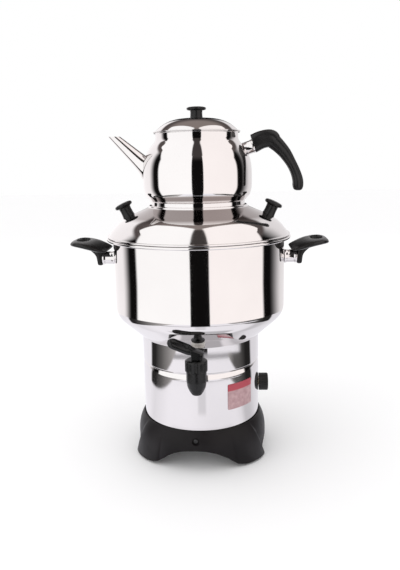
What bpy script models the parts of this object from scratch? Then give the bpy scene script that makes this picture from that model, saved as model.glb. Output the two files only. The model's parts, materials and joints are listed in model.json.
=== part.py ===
"""Electric samovar with a teapot on its lid, as an assembly of separate pieces.

Lengths are in metres and +Z is up. The floor is z = 0 and the axis of the pot is x = y = 0.
The tap is at the front, towards -Y. The spout of the teapot points to -X and its handle to +X.
"""
import math

import bmesh
import bpy
from mathutils import Matrix, Vector

# Clearances shared by every fit
CLEARANCE = 0.0003          # between pieces that touch or slide
SHEET_SEAT = 0.0008         # between a flat end and a round sheet wall
OVERRUN = 0.002             # how far a cutter runs past what it cuts

# Facets round a full turn
POT_FACETS = 36
TEAPOT_FACETS = 32
SMALL_FACETS = 16
SCREW_FACETS = 8
HEX = 6
TANK_SEAM_TURN = math.radians(0.2)   # keeps the tank's edges off the centres of its holes

# Base ring with four feet; FRONT and SIDE arches lie between them
BASE_HEIGHT = 0.058
BASE_LIP = 0.0016            # wall outside the casing at the top edge
SKIRT_SPREAD = 0.0078        # how much wider the skirt is than the top edge
BASE_SKIRT_DROP = 0.032
BASE_SKIRT_POWER = 2.5
BASE_WALL = 0.003
TOE_SWELL = 0.0066
FOOT_TURN_TOP = math.radians(43.0)
FOOT_TURN_SOLE = math.radians(54.5)
FOOT_HALF_TOP = math.radians(11.0)
FOOT_HALF_SOLE = math.radians(16.5)
FOOT_PLACE_SHARES = (-1.12, -1.0, -0.6, -0.15, 0.3, 0.7, 1.0, 1.12)
FOOT_SWELL_SHARES = (0.0, 0.24, 0.50, 0.78, 0.96, 1.0, 0.80, 0.0)
FOOT_LIFT_SHARES = (1.0, 0.72, 0.2, 0.0, 0.0, 0.0, 0.0, 0.0)
FOOT_LIFT = 0.0055
BASE_TURN = math.radians(-3.0)
SOLE_HEIGHT = 0.0025
SOLE_DEPTH = 0.0175
FRONT_CROWN_DROP = 0.0040     # below the ledge's underside
SIDE_ARCH_RISE = 0.0175
ARCH_POWER = 2.35
FRONT_ARCH_COLUMNS = 7
SIDE_ARCH_COLUMNS = 5
LEDGE_DROP = 0.0215          # underside below the base's top edge
LEDGE_THICKNESS = 0.0035
LEDGE_WIDTH = 0.014
SKIRT_SHARES = (1.0, 0.82, 0.56, 0.28, 0.0)
PAD_RADIUS = 0.008
PAD_INSET = 0.0065

# Bottom cover and its screws
COVER_OVERLAP = 0.0058
COVER_SHEET = 0.0012
COVER_SCREW_INSET = 0.0035
COVER_SCREW_LENGTH = 0.0045
COVER_SCREW_HEAD = 0.0022

# Lower casing
CASING_RADIUS = 0.084
CASING_SHEET = 0.0009
CASING_EXPOSED = 0.0815      # from the base up to the tank
CASING_CURL = 0.0011
CASING_SCREW_DROP = 0.0125
CASING_SCREW_COUNT = 3
CASING_SCREW_RECESS = 0.0048
CASING_SCREW_DEPTH = 0.0028
CASING_SCREW_INSIDE = 0.004

# Screws
SMALL_SHANK = 0.0016
SMALL_HEAD = 0.0032
SMALL_HEAD_HEIGHT = 0.002
BIG_SHANK = 0.0022
BIG_HEAD = 0.0045
BIG_HEAD_HEIGHT = 0.0026

# Label field on the casing
LABEL_WIDTH = 0.044
LABEL_HEIGHT = 0.0365
LABEL_RISE = 0.0265          # above the base
LABEL_TURN = math.radians(43.0)
LABEL_SHEET = 0.0004
LABEL_COLUMNS = 6

# Cord gland at the back of the base
GLAND_DROP = 0.0105          # below the base's top edge
GLAND_BORE = 0.0037
GLAND_NECK = 0.0060
GLAND_FLANGE = 0.0085
GLAND_LIP = 0.0074
GLAND_FLANGE_THICKNESS = 0.0035
GLAND_RECESS_RIM = 0.0004

# Thermostat and its knob, on the +X side
THERMOSTAT_RISE = 0.0395     # above the base
THERMOSTAT_SIZE = Vector((0.022, 0.030, 0.036))
THERMOSTAT_BUSH = 0.0045
THERMOSTAT_BUSH_PROUD = 0.0035
THERMOSTAT_SHAFT = 0.003
THERMOSTAT_SHAFT_DEPTH = 0.008
THERMOSTAT_NUT = 0.0072
THERMOSTAT_NUT_THICKNESS = 0.0022
KNOB_RADIUS = 0.0127
KNOB_LENGTH = 0.0138
KNOB_DOME = 0.0022
KNOB_SKIRT_BORE = 0.0092
KNOB_SKIRT_DEPTH = 0.0042
KNOB_ROOF = 0.0028

# Terminal block on the bottom cover
TERMINAL_SIZE = Vector((0.034, 0.016, 0.018))
TERMINAL_INSET = 0.024        # from the ledge's inner edge
LEAD_RADIUS = 0.0012
LEAD_RISE = 0.010
LEAD_END_GAP = 0.0005
LEAD_STEPS = 8

# Water tank
TANK_SHEET = 0.001
SPIGOT_LENGTH = 0.0085       # how far the tank reaches into the casing
TANK_FLOOR_FILLET = 0.004
TANK_SHOULDER_FILLET = 0.001
TANK_NECK_HEIGHT = 0.0366
CONE_SPREAD = 0.0360
CONE_RISE = 0.0328
TANK_BELLY_FILLET = 0.022
TANK_WALL_HEIGHT = 0.1042
FLANGE_WIDTH = 0.0086
FLANGE_THICKNESS = 0.0038
TANK_CURL_FILLET = 0.0017
TANK_CURL_WIDTH = 0.0018

# Heating element, its seals and nuts, and the thermal cut-off
ELEMENT_TUBE = 0.0042
ELEMENT_INSET = 0.0306       # from the spigot's wall
ELEMENT_RISE = 0.014
ELEMENT_LEG_ANGLE = math.radians(24.0)
ELEMENT_LEG_DROP = 0.017
ELEMENT_BEND = 0.008
ELEMENT_BEND_STEPS = 3
ELEMENT_RING_STEPS = 22
ELEMENT_SEAL_RADIUS = 0.0085
ELEMENT_SEAL_THICKNESS = 0.002
ELEMENT_NUT_RADIUS = 0.0085
ELEMENT_NUT_THICKNESS = 0.005
CUTOFF_RADIUS = 0.012
CUTOFF_THICKNESS = 0.007

# Tap: its axis stands in front of the casing
TAP_STANDOFF = 0.035
TAP_SHANK_RISE = 0.0117       # above the tank's shoulder
TAP_OUTLET_DROP = 0.0260      # below the shank
TAP_OUTLET_RADIUS = 0.0053
TAP_OUTLET_BORE = 0.0037
TAP_CHIN_RISE = 0.0055
TAP_CHIN_RADIUS = 0.0076
TAP_JAW_RISE = 0.0055
TAP_JAW_RADIUS = 0.0106
TAP_SWELL_RISE = 0.0080
TAP_BODY_RADIUS = 0.0125
TAP_BODY_LENGTH = 0.0135
TAP_NECK_RADIUS = 0.0108
TAP_NECK_LENGTH = 0.0085
TAP_CHAMBER_RADIUS = 0.0082
TAP_OUTLET_LENGTH = 0.0080
TAP_SEAT_RISE = 0.0040
TAP_SHANK_RADIUS = 0.0080
TAP_SHANK_BORE = 0.0050
TAP_SHANK_INSIDE = 0.0125
TAP_ARM_RADIUS = 0.0062
TAP_FLANGE_RADIUS = 0.0120
TAP_FLANGE_THICKNESS = 0.003
TAP_SEAL_RADIUS = 0.0118
TAP_SEAL_THICKNESS = 0.003
TAP_INNER_SEAL_RADIUS = 0.0112
TAP_NUT_RADIUS = 0.0132
TAP_NUT_THICKNESS = 0.0055
BONNET_RADIUS = 0.01445
BONNET_GAP = 0.0005           # between the neck's end and the bonnet's roof
BONNET_CHAMFER = 0.0032
BONNET_ROOF = 0.0065
BONNET_FLUTES = 12
BONNET_FLUTE_DEPTH = 0.0007

# Tap stem, seat cup, lever and pin
STEM_RADIUS = 0.003
STEM_FOOT_RADIUS = 0.0022
STEM_FOOT_RISE = 0.0015       # above the top of the seat
STEM_STEP_RISE = 0.0050       # above the cup
STEM_ABOVE_PIN = 0.0032
CUP_RADIUS = 0.0074
CUP_NOSE = 0.0030
CUP_BRIM = 0.002
CUP_NECK_RADIUS = 0.0040
CUP_NECK_HEIGHT = 0.008
CUP_SOCKET_DEPTH = 0.0120
PIN_RISE = 0.0051             # above the bonnet
PIN_RADIUS = 0.0015
LEVER_TILT = math.radians(22.4)
LEVER_ABOVE_PIN = 0.0030
LEVER_LENGTH = 0.0390
LEVER_BACK = 0.0090
LEVER_THICKNESS = 0.0068
LEVER_WIDTH = 0.0164
LEVER_TIP_WIDTH = 0.0180
LEVER_HEEL = 0.0060
LEVER_HEEL_FILLET = 0.0012
LEVER_BLOCK_WIDTH = 0.0166
LEVER_RECESS_DEPTH = 0.0020
LEVER_RECESS_RIM = 0.0026
LEVER_RECESS_START = 0.0105
LEVER_SLOT_SIDE = 0.0004
LEVER_STEPS = 6

# Side handles: a wing on a post, a ferrule and one screw each
HANDLE_DROP = 0.0280          # below the tank's flange
FERRULE_RADIUS = 0.0095
FERRULE_WALL = 0.0012
FERRULE_LENGTH = 0.0175
FERRULE_WAIST = 0.0004
POST_WIDTH = 0.0215
POST_DROP = 0.0102
POST_RISE_SHARES = (0.0, 0.06, 0.3, 0.55, 0.8, 1.0)
POST_REACH_SHARES = (0.20, 0.28, 0.31, 0.38, 0.64, 1.0)
POST_WIDTH_SHARES = (0.55, 0.85, 1.0, 1.0, 1.0, 1.0)
POST_REACH = 0.024
POST_SECTION_POWER = 5.0
WING_REACH = 0.0512
WING_GAP = 0.0086             # from the tank's wall
WING_WIDTH = 0.0740
WING_THICKNESS = 0.0108
WING_LIFT = 0.0088            # above the handle's screw
WING_RISE = 0.0140
WING_PLACE_SHARES = (0.0, 0.05, 0.2, 0.4, 0.62, 0.82, 0.95, 1.0)
WING_RISE_SHARES = (0.26, 0.30, 0.46, 0.70, 0.9, 1.0, 0.99, 0.95)
WING_WIDTH_SHARES = (0.72, 0.86, 0.97, 1.0, 0.98, 0.86, 0.66, 0.50)
WING_THICKNESS_SHARES = (0.22, 0.42, 0.80, 1.0, 1.0, 0.90, 0.70, 0.34)
WING_SECTION_POINTS = 12
WING_SECTION_POWER = 2.6
SLOT_OFFSET = 0.0356
SLOT_LENGTH = 0.0130
SLOT_WIDTH = 0.0330
HANDLE_SCREW_DEPTH = 0.006

# Pot lid: dome, brim, skirt and the collar that seats the teapot
LID_SHEET = 0.0008
LID_BRIM_INSET = 0.0010
LID_BRIM_WIDTH = 0.0026
LID_BRIM_THICKNESS = 0.0026
LID_BRIM_FILLET = 0.0009
LID_SKIRT_LENGTH = 0.0090
LID_DOME_LIFT = 0.0020
LID_DOME_RISE = 0.0325
LID_DOME_POWER = 6.0
LID_DOME_SHARES = (0.66, 0.77, 0.86, 0.93, 0.98)
LID_LEDGE_WIDTH = 0.0150
COLLAR_SEAT_RISE = 0.0015
COLLAR_DEPTH = 0.0062
COLLAR_WIDTH = 0.0025
COLLAR_FILLET = 0.0011
LID_KNOB_INSET = 0.0270
LID_KNOB_CAP = 0.0126
LID_KNOB_NECK = 0.0084
LID_KNOB_HEIGHT = 0.0204

# Shape shared by the three mushroom knobs
KNOB_BORE_SHARE = 0.55
KNOB_HEIGHT_SHARES = (0.0, 0.13, 0.46, 0.68, 0.80, 0.93, 1.0)
KNOB_NECK_SHARES = (1.08, 0.97, 0.95)
KNOB_CAP_SHARES = (0.93, 1.0, 0.72)

# Teapot body
POT_SHEET = 0.0008
FOOT_RADIUS = 0.065
FOOT_HEIGHT = 0.0110
FOOT_RING_WIDTH = 0.006
FOOT_RING_DEPTH = 0.0022
BEVEL_SPREAD = 0.0066
BEVEL_RISE = 0.0077
BELLY_SWELL = 0.0034
BELLY_RISE = 0.0195
SHOULDER_RISE = 0.0540
SHOULDER_INSET = 0.0186
BELLY_LOW_POWER = 3.0
BELLY_HIGH_POWER = 3.2
BELLY_LOW_SHARES = (0.62,)
BELLY_HIGH_SHARES = (0.0, 0.33, 0.56, 0.74, 0.88)
SHOULDER_EDGE = 0.0006
NECK_HEIGHT = 0.0108
NECK_FLANGE = 0.0022

# Teapot spout, a cone cut level at its tip
SPOUT_ROOT_DEPTH = 0.0130     # inside the belly
SPOUT_ROOT_RISE = 0.0115      # above the widest part of the belly
SPOUT_RUN = 0.0570
SPOUT_RISE = 0.0540
SPOUT_ROOT_RADIUS = 0.0132
SPOUT_TIP_RADIUS = 0.0049
SPOUT_SHEET = 0.0008
SPOUT_TRIM = 0.0040           # taken off the tip by the level cut
STRAINER_HOLE = 0.0026
STRAINER_PITCH = 0.0072
STRAINER_RING = 6

# Teapot handle on its ferrule
ARM_TILT = math.radians(19.5)
ARM_DROP = 0.0121             # below the shoulder's edge
ARM_FERRULE_RADIUS = 0.0088
ARM_FERRULE_END = 0.0117
GRIP_OFFSET = 0.0028
GRIP_REACH = 0.0611
GRIP_DROP = 0.0640
GRIP_THICKNESS = 0.0250
GRIP_WIDTH = 0.0215
GRIP_PLACE_SHARES = (0.19, 0.38, 0.466, 0.584, 0.71, 0.838, 0.933, 0.992, 1.0, 1.003, 1.003)
GRIP_RISE_SHARES = (0.08, 0.10, 0.025, -0.08, -0.219, -0.41, -0.59, -0.767, -0.894, -0.972, -0.997)
GRIP_THICKNESS_SHARES = (1.0, 0.96, 0.94, 0.82, 0.73, 0.655, 0.55, 0.535, 0.57, 0.575, 0.44, 0.2)
GRIP_WIDTH_SHARES = (0.96, 1.0, 1.0, 0.98, 0.95, 0.9, 0.86, 0.84, 0.86, 0.86, 0.7, 0.3)
GRIP_SECTION_POINTS = 12
GRIP_SECTION_POWER = 2.8
ARM_SCREW_DEPTH = 0.008
ARM_SCREW_SINK = 0.0023

# Teapot lid
CAP_RIM_OVERHANG = 0.0009
CAP_RIM_WIDTH = 0.0030
CAP_RIM_THICKNESS = 0.0014
CAP_DOME_RISE = 0.0172
CAP_DOME_POWER = 3.5
CAP_DOME_SHARES = (0.35, 0.62, 0.84)
CAP_SKIRT_LENGTH = 0.007
CAP_KNOB_CAP = 0.0133
CAP_KNOB_NECK = 0.0086
CAP_KNOB_HEIGHT = 0.0149

# Base and casing sizes that follow
LEDGE_UNDERSIDE = BASE_HEIGHT - LEDGE_DROP
CASING_SEAT = LEDGE_UNDERSIDE + LEDGE_THICKNESS
CASING_TOP = BASE_HEIGHT + CASING_EXPOSED
CASING_BORE = CASING_RADIUS - CASING_SHEET
BASE_BORE = CASING_RADIUS + 2.0 * CLEARANCE
BASE_TOP_RADIUS = BASE_BORE + BASE_LIP
BASE_SKIRT_RADIUS = BASE_TOP_RADIUS + SKIRT_SPREAD
TOE_RADIUS = BASE_SKIRT_RADIUS + TOE_SWELL
SOLE_INNER_RADIUS = BASE_SKIRT_RADIUS - SOLE_DEPTH
LEDGE_INNER_RADIUS = CASING_RADIUS - LEDGE_WIDTH
FRONT_ARCH_CROWN = LEDGE_UNDERSIDE - FRONT_CROWN_DROP
SIDE_ARCH_CROWN = SOLE_HEIGHT + SIDE_ARCH_RISE
PAD_CENTRE_RADIUS = BASE_SKIRT_RADIUS - PAD_INSET
COVER_RADIUS = LEDGE_INNER_RADIUS + COVER_OVERLAP
TERMINAL_PLACE = LEDGE_INNER_RADIUS - TERMINAL_INSET
COVER_SCREW_RADIUS = LEDGE_INNER_RADIUS + COVER_SCREW_INSET
CASING_SCREW_HEIGHT = BASE_HEIGHT - CASING_SCREW_DROP
GLAND_HEIGHT = BASE_HEIGHT - GLAND_DROP
LABEL_LOW = BASE_HEIGHT + LABEL_RISE
THERMOSTAT_HEIGHT = BASE_HEIGHT + THERMOSTAT_RISE
KNOB_END = CASING_RADIUS + SHEET_SEAT + KNOB_LENGTH

# Tank and element sizes that follow
TANK_FLOOR = CASING_TOP - SPIGOT_LENGTH
TANK_INNER_FLOOR = TANK_FLOOR + TANK_SHEET
TANK_SPIGOT_RADIUS = CASING_BORE - CASING_CURL + CASING_SHEET - CLEARANCE
TANK_SHOULDER = CASING_TOP + CLEARANCE
TANK_CONE_LOW = TANK_SHOULDER + TANK_NECK_HEIGHT
TANK_CONE_HIGH = TANK_CONE_LOW + CONE_RISE
TANK_RADIUS = CASING_RADIUS + CONE_SPREAD
TANK_FLANGE_UNDERSIDE = TANK_CONE_HIGH + TANK_WALL_HEIGHT
TANK_FLANGE_RADIUS = TANK_RADIUS + FLANGE_WIDTH
TANK_RIM = TANK_FLANGE_UNDERSIDE + FLANGE_THICKNESS
TANK_NARROW_BORE = CASING_RADIUS - TANK_SHEET
TANK_BORE = TANK_RADIUS - TANK_SHEET
ELEMENT_RING_RADIUS = TANK_SPIGOT_RADIUS - ELEMENT_INSET
ELEMENT_HEIGHT = TANK_FLOOR + ELEMENT_RISE
ELEMENT_LEG_END = TANK_FLOOR - ELEMENT_LEG_DROP

# Tap sizes that follow
TAP_REACH = CASING_RADIUS + TAP_STANDOFF
TAP_SHANK_HEIGHT = TANK_SHOULDER + TAP_SHANK_RISE
TAP_OUTLET_LOW = TAP_SHANK_HEIGHT - TAP_OUTLET_DROP
TAP_CHIN = TAP_OUTLET_LOW + TAP_CHIN_RISE
TAP_JAW = TAP_CHIN + TAP_JAW_RISE
TAP_BODY_LOW = TAP_JAW + TAP_SWELL_RISE
TAP_NECK_LOW = TAP_BODY_LOW + TAP_BODY_LENGTH
TAP_NECK_TOP = TAP_NECK_LOW + TAP_NECK_LENGTH
TAP_BONNET_LOW = TAP_NECK_LOW + CLEARANCE
BONNET_TOP = TAP_NECK_TOP + BONNET_GAP + BONNET_ROOF
TAP_SEAT_LOW = TAP_OUTLET_LOW + TAP_OUTLET_LENGTH
TAP_SEAT_HIGH = TAP_SEAT_LOW + TAP_SEAT_RISE
STEM_FOOT = TAP_SEAT_HIGH + STEM_FOOT_RISE
CUP_TOP = STEM_FOOT + CUP_SOCKET_DEPTH
STEM_STEP = CUP_TOP + STEM_STEP_RISE
PIN_HEIGHT = BONNET_TOP + PIN_RISE

# Side handle sizes that follow
HANDLE_HEIGHT = TANK_FLANGE_UNDERSIDE - HANDLE_DROP
WING_START = TANK_RADIUS + WING_GAP
WING_LOW = HANDLE_HEIGHT + WING_LIFT
SLOT_PLACE = WING_START + SLOT_OFFSET

# Pot lid sizes that follow
LID_BRIM_UNDERSIDE = TANK_RIM + CLEARANCE
LID_BRIM_TOP = LID_BRIM_UNDERSIDE + LID_BRIM_THICKNESS
LID_BRIM_RADIUS = TANK_FLANGE_RADIUS - LID_BRIM_INSET
LID_DOME_RADIUS = LID_BRIM_RADIUS - LID_BRIM_WIDTH
LID_DOME_FOOT = LID_BRIM_UNDERSIDE + LID_DOME_LIFT
LID_SKIRT_RADIUS = TANK_BORE - CLEARANCE
LID_HOLE_RADIUS = FOOT_RADIUS - LID_LEDGE_WIDTH
LID_KNOB_PLACE = LID_DOME_RADIUS - LID_KNOB_INSET
COLLAR_SEAT = LID_DOME_FOOT + LID_DOME_RISE + COLLAR_SEAT_RISE
COLLAR_TOP = COLLAR_SEAT + COLLAR_DEPTH
COLLAR_BORE = FOOT_RADIUS + CLEARANCE + LID_SHEET
COLLAR_RADIUS = COLLAR_BORE + COLLAR_WIDTH

# Teapot sizes that follow
TEAPOT_BOTTOM = COLLAR_SEAT + CLEARANCE
FOOT_TOP = TEAPOT_BOTTOM + FOOT_HEIGHT
BEVEL_RADIUS = FOOT_RADIUS + BEVEL_SPREAD
BEVEL_TOP = FOOT_TOP + BEVEL_RISE
BELLY_RADIUS = BEVEL_RADIUS + BELLY_SWELL
BELLY_HEIGHT = BEVEL_TOP + BELLY_RISE
NECK_RADIUS = BELLY_RADIUS - SHOULDER_INSET
NECK_LOW = BELLY_HEIGHT + SHOULDER_RISE
NECK_RIM = NECK_LOW + NECK_HEIGHT
SPOUT_ROOT = Vector((SPOUT_ROOT_DEPTH - BELLY_RADIUS, 0.0, BELLY_HEIGHT + SPOUT_ROOT_RISE))
SPOUT_TIP = SPOUT_ROOT + Vector((-SPOUT_RUN, 0.0, SPOUT_RISE))
SPOUT_CUT = SPOUT_TIP.z - SPOUT_TRIM
ARM_HEIGHT = NECK_LOW - ARM_DROP
CAP_RIM_UNDERSIDE = NECK_RIM + CLEARANCE
CAP_DOME_FOOT = CAP_RIM_UNDERSIDE + CAP_RIM_THICKNESS
CAP_RIM_RADIUS = NECK_RADIUS + NECK_FLANGE + CAP_RIM_OVERHANG
CAP_DOME_RADIUS = CAP_RIM_RADIUS - CAP_RIM_WIDTH
CAP_SKIRT_RADIUS = NECK_RADIUS - POT_SHEET - CLEARANCE

STEEL = (0.78, 0.76, 0.75, 1.0)
BAKELITE = (0.018, 0.018, 0.019, 1.0)
BASE_PLASTIC = (0.028, 0.027, 0.029, 1.0)
RUBBER = (0.02, 0.02, 0.02, 1.0)
SILICONE = (0.80, 0.80, 0.78, 1.0)
ZINC = (0.62, 0.62, 0.60, 1.0)
BRASS = (0.72, 0.55, 0.28, 1.0)
CERAMIC = (0.85, 0.83, 0.78, 1.0)
LABEL_RED = (0.62, 0.12, 0.16, 1.0)
LEAD_BROWN = (0.16, 0.06, 0.03, 1.0)


def clear_scene():
    for item in list(bpy.data.objects):
        bpy.data.objects.remove(item, do_unlink=True)


def material(name, colour, roughness, metallic):
    """A Principled material for one piece."""
    made = bpy.data.materials.new(name)
    made.use_nodes = True
    shader = made.node_tree.nodes["Principled BSDF"]
    shader.inputs["Base Color"].default_value = colour
    shader.inputs["Roughness"].default_value = roughness
    shader.inputs["Metallic"].default_value = metallic
    made.diffuse_color = colour
    return made


FINISHES = {
    "steel": (STEEL, 0.08, 1.0),
    "bakelite": (BAKELITE, 0.32, 0.0),
    "plastic": (BASE_PLASTIC, 0.42, 0.0),
    "rubber": (RUBBER, 0.8, 0.0),
    "silicone": (SILICONE, 0.55, 0.0),
    "zinc": (ZINC, 0.3, 1.0),
    "brass": (BRASS, 0.3, 1.0),
    "ceramic": (CERAMIC, 0.6, 0.0),
    "label": (LABEL_RED, 0.45, 0.0),
    "lead": (LEAD_BROWN, 0.5, 0.0),
}
SMOOTH_ANGLE = math.radians(35.0)
MERGE_DISTANCE = 1e-6
AXIS = Vector((0.0, 0.0, 1.0))


def placed(shape, name, finish, place=None):
    """Turn a bmesh into a linked, smooth-shaded object that stands at the matrix place."""
    bmesh.ops.remove_doubles(shape, verts=shape.verts, dist=MERGE_DISTANCE)
    bmesh.ops.recalc_face_normals(shape, faces=shape.faces)
    mesh = bpy.data.meshes.new(name)
    shape.to_mesh(mesh)
    shape.free()
    mesh.shade_smooth()
    mesh.set_sharp_from_angle(angle=SMOOTH_ANGLE)
    mesh.materials.append(material(name, *FINISHES[finish]))
    made = bpy.data.objects.new(name, mesh)
    bpy.context.scene.collection.objects.link(made)
    if place is not None:
        made.matrix_world = place
    return made


def cutter(shape, name, place=None):
    """A hidden solid that only cuts others."""
    made = placed(shape, name, "rubber", place)
    made.hide_render = True
    made.display_type = "WIRE"
    return made


def combine(target, tool, operation="DIFFERENCE"):
    """Cut the tool out of the target, or join it on, with an exact Boolean."""
    change = target.modifiers.new(tool.name, "BOOLEAN")
    change.operation = operation
    change.solver = "EXACT"
    change.object = tool


def filleted(corners):
    """Round the corners (r, z, fillet, steps) of an open path, and return its points."""
    points = []
    last = len(corners) - 1
    for index, (r, z, fillet, steps) in enumerate(corners):
        here = Vector((r, z))
        if fillet <= 0.0 or index in (0, last):
            points.append(here)
            continue
        back = (Vector(corners[index - 1][:2]) - here).normalized()
        ahead = (Vector(corners[index + 1][:2]) - here).normalized()
        half = back.angle(ahead) / 2.0
        reach = fillet / math.tan(half)
        centre = here + (back + ahead).normalized() * (fillet / math.sin(half))
        start = here + back * reach - centre
        end = here + ahead * reach - centre
        sweep = start.angle_signed(end)
        for step in range(steps + 1):
            turn = Matrix.Rotation(-sweep * step / steps, 2)
            points.append(centre + turn @ start)
    return points


def offset_path(points, distance):
    """Shift an open path sideways, to its left for a positive distance."""
    shifted = []
    for index, here in enumerate(points):
        before = points[max(index - 1, 0)]
        after = points[min(index + 1, len(points) - 1)]
        normals = []
        for a, b in ((before, here), (here, after)):
            run = b - a
            if run.length > MERGE_DISTANCE:
                normals.append(Vector((-run.y, run.x)).normalized())
        normal = sum(normals, Vector((0.0, 0.0))).normalized()
        moved = here + normal * (distance / normal.dot(normals[0]))
        if here.x < MERGE_DISTANCE:
            moved.x = 0.0
        shifted.append(moved)
    return shifted


def sheet_outline(corners, thickness):
    """The closed outline of a sheet whose outer face follows the rounded corners."""
    outer = filleted(corners)
    core = [Vector(corner[:2]) for corner in corners]
    inner_core = offset_path(core, thickness)
    inner_corners = []
    for corner, inner, index in zip(corners, inner_core, range(len(corners))):
        fillet = 0.0
        if 0 < index < len(corners) - 1 and corner[2] > 0.0:
            back = core[index] - core[index - 1]
            ahead = core[index + 1] - core[index]
            turns_left = back.x * ahead.y - back.y * ahead.x > 0.0
            fillet = corner[2] - thickness if turns_left else corner[2] + thickness
        if fillet < TANK_FLOOR_FILLET:
            fillet = 0.0
        inner_corners.append((inner.x, inner.y, fillet, max(1, corner[3] // 2)))
    return outer + filleted(inner_corners)[::-1]


def turned_shape(outline, facets):
    """Spin a closed outline of (r, z) points about the local Z axis."""
    shape = bmesh.new()
    ring = [shape.verts.new((r, 0.0, z)) for r, z in outline]
    edges = []
    for index, vert in enumerate(ring):
        after = ring[(index + 1) % len(ring)]
        on_axis = vert.co.x < MERGE_DISTANCE and after.co.x < MERGE_DISTANCE
        if not on_axis:
            edges.append(shape.edges.new((vert, after)))
    bmesh.ops.spin(shape, geom=ring + edges, cent=(0.0, 0.0, 0.0), axis=AXIS,
                   angle=math.tau, steps=facets, use_merge=True)
    bmesh.ops.remove_doubles(shape, verts=shape.verts, dist=MERGE_DISTANCE)
    return shape


def turned(name, outline, finish, facets, place=None):
    return placed(turned_shape(outline, facets), name, finish, place)


def turned_cutter(name, outline, facets, place=None):
    return cutter(turned_shape(outline, facets), name, place)


def rod_outline(radius, low, high):
    return [(0.0, low), (radius, low), (radius, high), (0.0, high)]


def ring_outline(bore, radius, low, high):
    return [(bore, low), (radius, low), (radius, high), (bore, high)]


def along(direction, origin):
    """A frame at the origin whose local Z axis points along the direction."""
    turn = Vector(direction).to_track_quat("Z", "Y").to_matrix().to_4x4()
    return Matrix.Translation(origin) @ turn


def box_shape(low, high):
    shape = bmesh.new()
    bmesh.ops.create_cube(shape, size=1.0)
    span = Vector(high) - Vector(low)
    middle = (Vector(high) + Vector(low)) / 2.0
    bmesh.ops.scale(shape, vec=span, verts=shape.verts)
    bmesh.ops.translate(shape, vec=middle, verts=shape.verts)
    return shape


def lofted_shape(sections):
    """Skin closed sections that have the same number of points, and close both ends."""
    shape = bmesh.new()
    rings = [[shape.verts.new(point) for point in section] for section in sections]
    for near, far in zip(rings, rings[1:]):
        count = len(near)
        for index in range(count):
            after = (index + 1) % count
            shape.faces.new((near[index], near[after], far[after], far[index]))
    shape.faces.new(rings[0][::-1])
    shape.faces.new(rings[-1])
    return shape


def rounded_section(centre, across, upward, half_width, half_height, power, count):
    """A superellipse between a box and an ellipse, in the plane of across and upward."""
    points = []
    for index in range(count):
        angle = math.tau * (index + 0.5) / count
        c = math.cos(angle)
        s = math.sin(angle)
        u = math.copysign(abs(c) ** (2.0 / power), c) * half_width
        v = math.copysign(abs(s) ** (2.0 / power), s) * half_height
        points.append(centre + across * u + upward * v)
    return points


def screw(name, shank, head, head_height, length, place, finish="zinc"):
    """A pan-head screw: the local Z axis runs from the head's seat to the tip of the shank."""
    edge = head - shank / 2.0
    outline = [(0.0, -head_height), (edge, -head_height), (head, -head_height / 2.0),
               (head, 0.0), (shank, 0.0), (shank, length), (0.0, length)]
    return turned(name, outline, finish, SCREW_FACETS, place)


def drill(target, name, radius, low, high, place, facets=SCREW_FACETS):
    """Cut a round hole from low to high along the local Z axis of the place."""
    hole = rod_outline(radius / math.cos(math.pi / facets), low, high)
    combine(target, turned_cutter(name, hole, facets, place))


def hex_nut(name, bore, radius, low, high, finish, place):
    """A six-sided nut with a round bore."""
    nut = turned(name, rod_outline(radius, low, high), finish, HEX, place)
    drill(nut, f"{name}_cutter", bore, low - OVERRUN, high + OVERRUN, place, SMALL_FACETS)


def skirt_radius(height):
    """Outer radius of the base between its feet."""
    drop = min(max((BASE_HEIGHT - height) / BASE_SKIRT_DROP, 0.0), 1.0)
    return BASE_SKIRT_RADIUS - (BASE_SKIRT_RADIUS - BASE_TOP_RADIUS) * (1.0 - drop) ** BASE_SKIRT_POWER


def base_columns():
    """Columns round the base as (azimuth of the half, kind, place in foot or arch, swell, low).

    Swell is the share of the toe's swell, and low is the height of the lower edge.
    """
    columns = []
    feet = []
    for place, swell, lift in zip(FOOT_PLACE_SHARES, FOOT_SWELL_SHARES, FOOT_LIFT_SHARES):
        feet.append((place, swell, SOLE_HEIGHT + FOOT_LIFT * lift))
    for middle in (BASE_TURN, math.pi + BASE_TURN):
        columns += [(middle, "foot left", *foot) for foot in feet[::-1]]
        for place in arch_shares(FRONT_ARCH_COLUMNS):
            columns.append((middle, "front", place, 0.0,
                            arch_height(SOLE_HEIGHT + FOOT_LIFT, FRONT_ARCH_CROWN, place)))
        columns += [(middle, "foot right", *foot) for foot in feet]
        for place in arch_shares(SIDE_ARCH_COLUMNS):
            columns.append((middle, "side", place, 0.0,
                            arch_height(SOLE_HEIGHT, SIDE_ARCH_CROWN, place)))
    return columns


def arch_shares(count):
    """Evenly spaced places across an arch, from -1 to 1 without its ends."""
    return [-1.0 + 2.0 * (index + 1) / (count + 1) for index in range(count)]


def arch_height(foot, crown, place):
    """Height of an arch that springs from its foot at places -1 and 1."""
    return foot + (crown - foot) * (1.0 - abs(place) ** ARCH_POWER)


def column_turn(middle, kind, place, height):
    """Azimuth of a column at a height, counted from the front towards +X."""
    fall = (BASE_HEIGHT - height) / (BASE_HEIGHT - SOLE_HEIGHT)
    centre = FOOT_TURN_TOP + (FOOT_TURN_SOLE - FOOT_TURN_TOP) * fall
    half = FOOT_HALF_TOP + (FOOT_HALF_SOLE - FOOT_HALF_TOP) * fall
    inner = centre + half * FOOT_PLACE_SHARES[0]
    outer = centre + half * FOOT_PLACE_SHARES[-1]
    if kind == "front":
        return middle + inner * place
    if kind == "side":
        return middle + math.pi / 2.0 + (math.pi / 2.0 - outer) * place
    away = centre + half * place
    return middle + away if kind == "foot right" else middle - away


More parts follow.
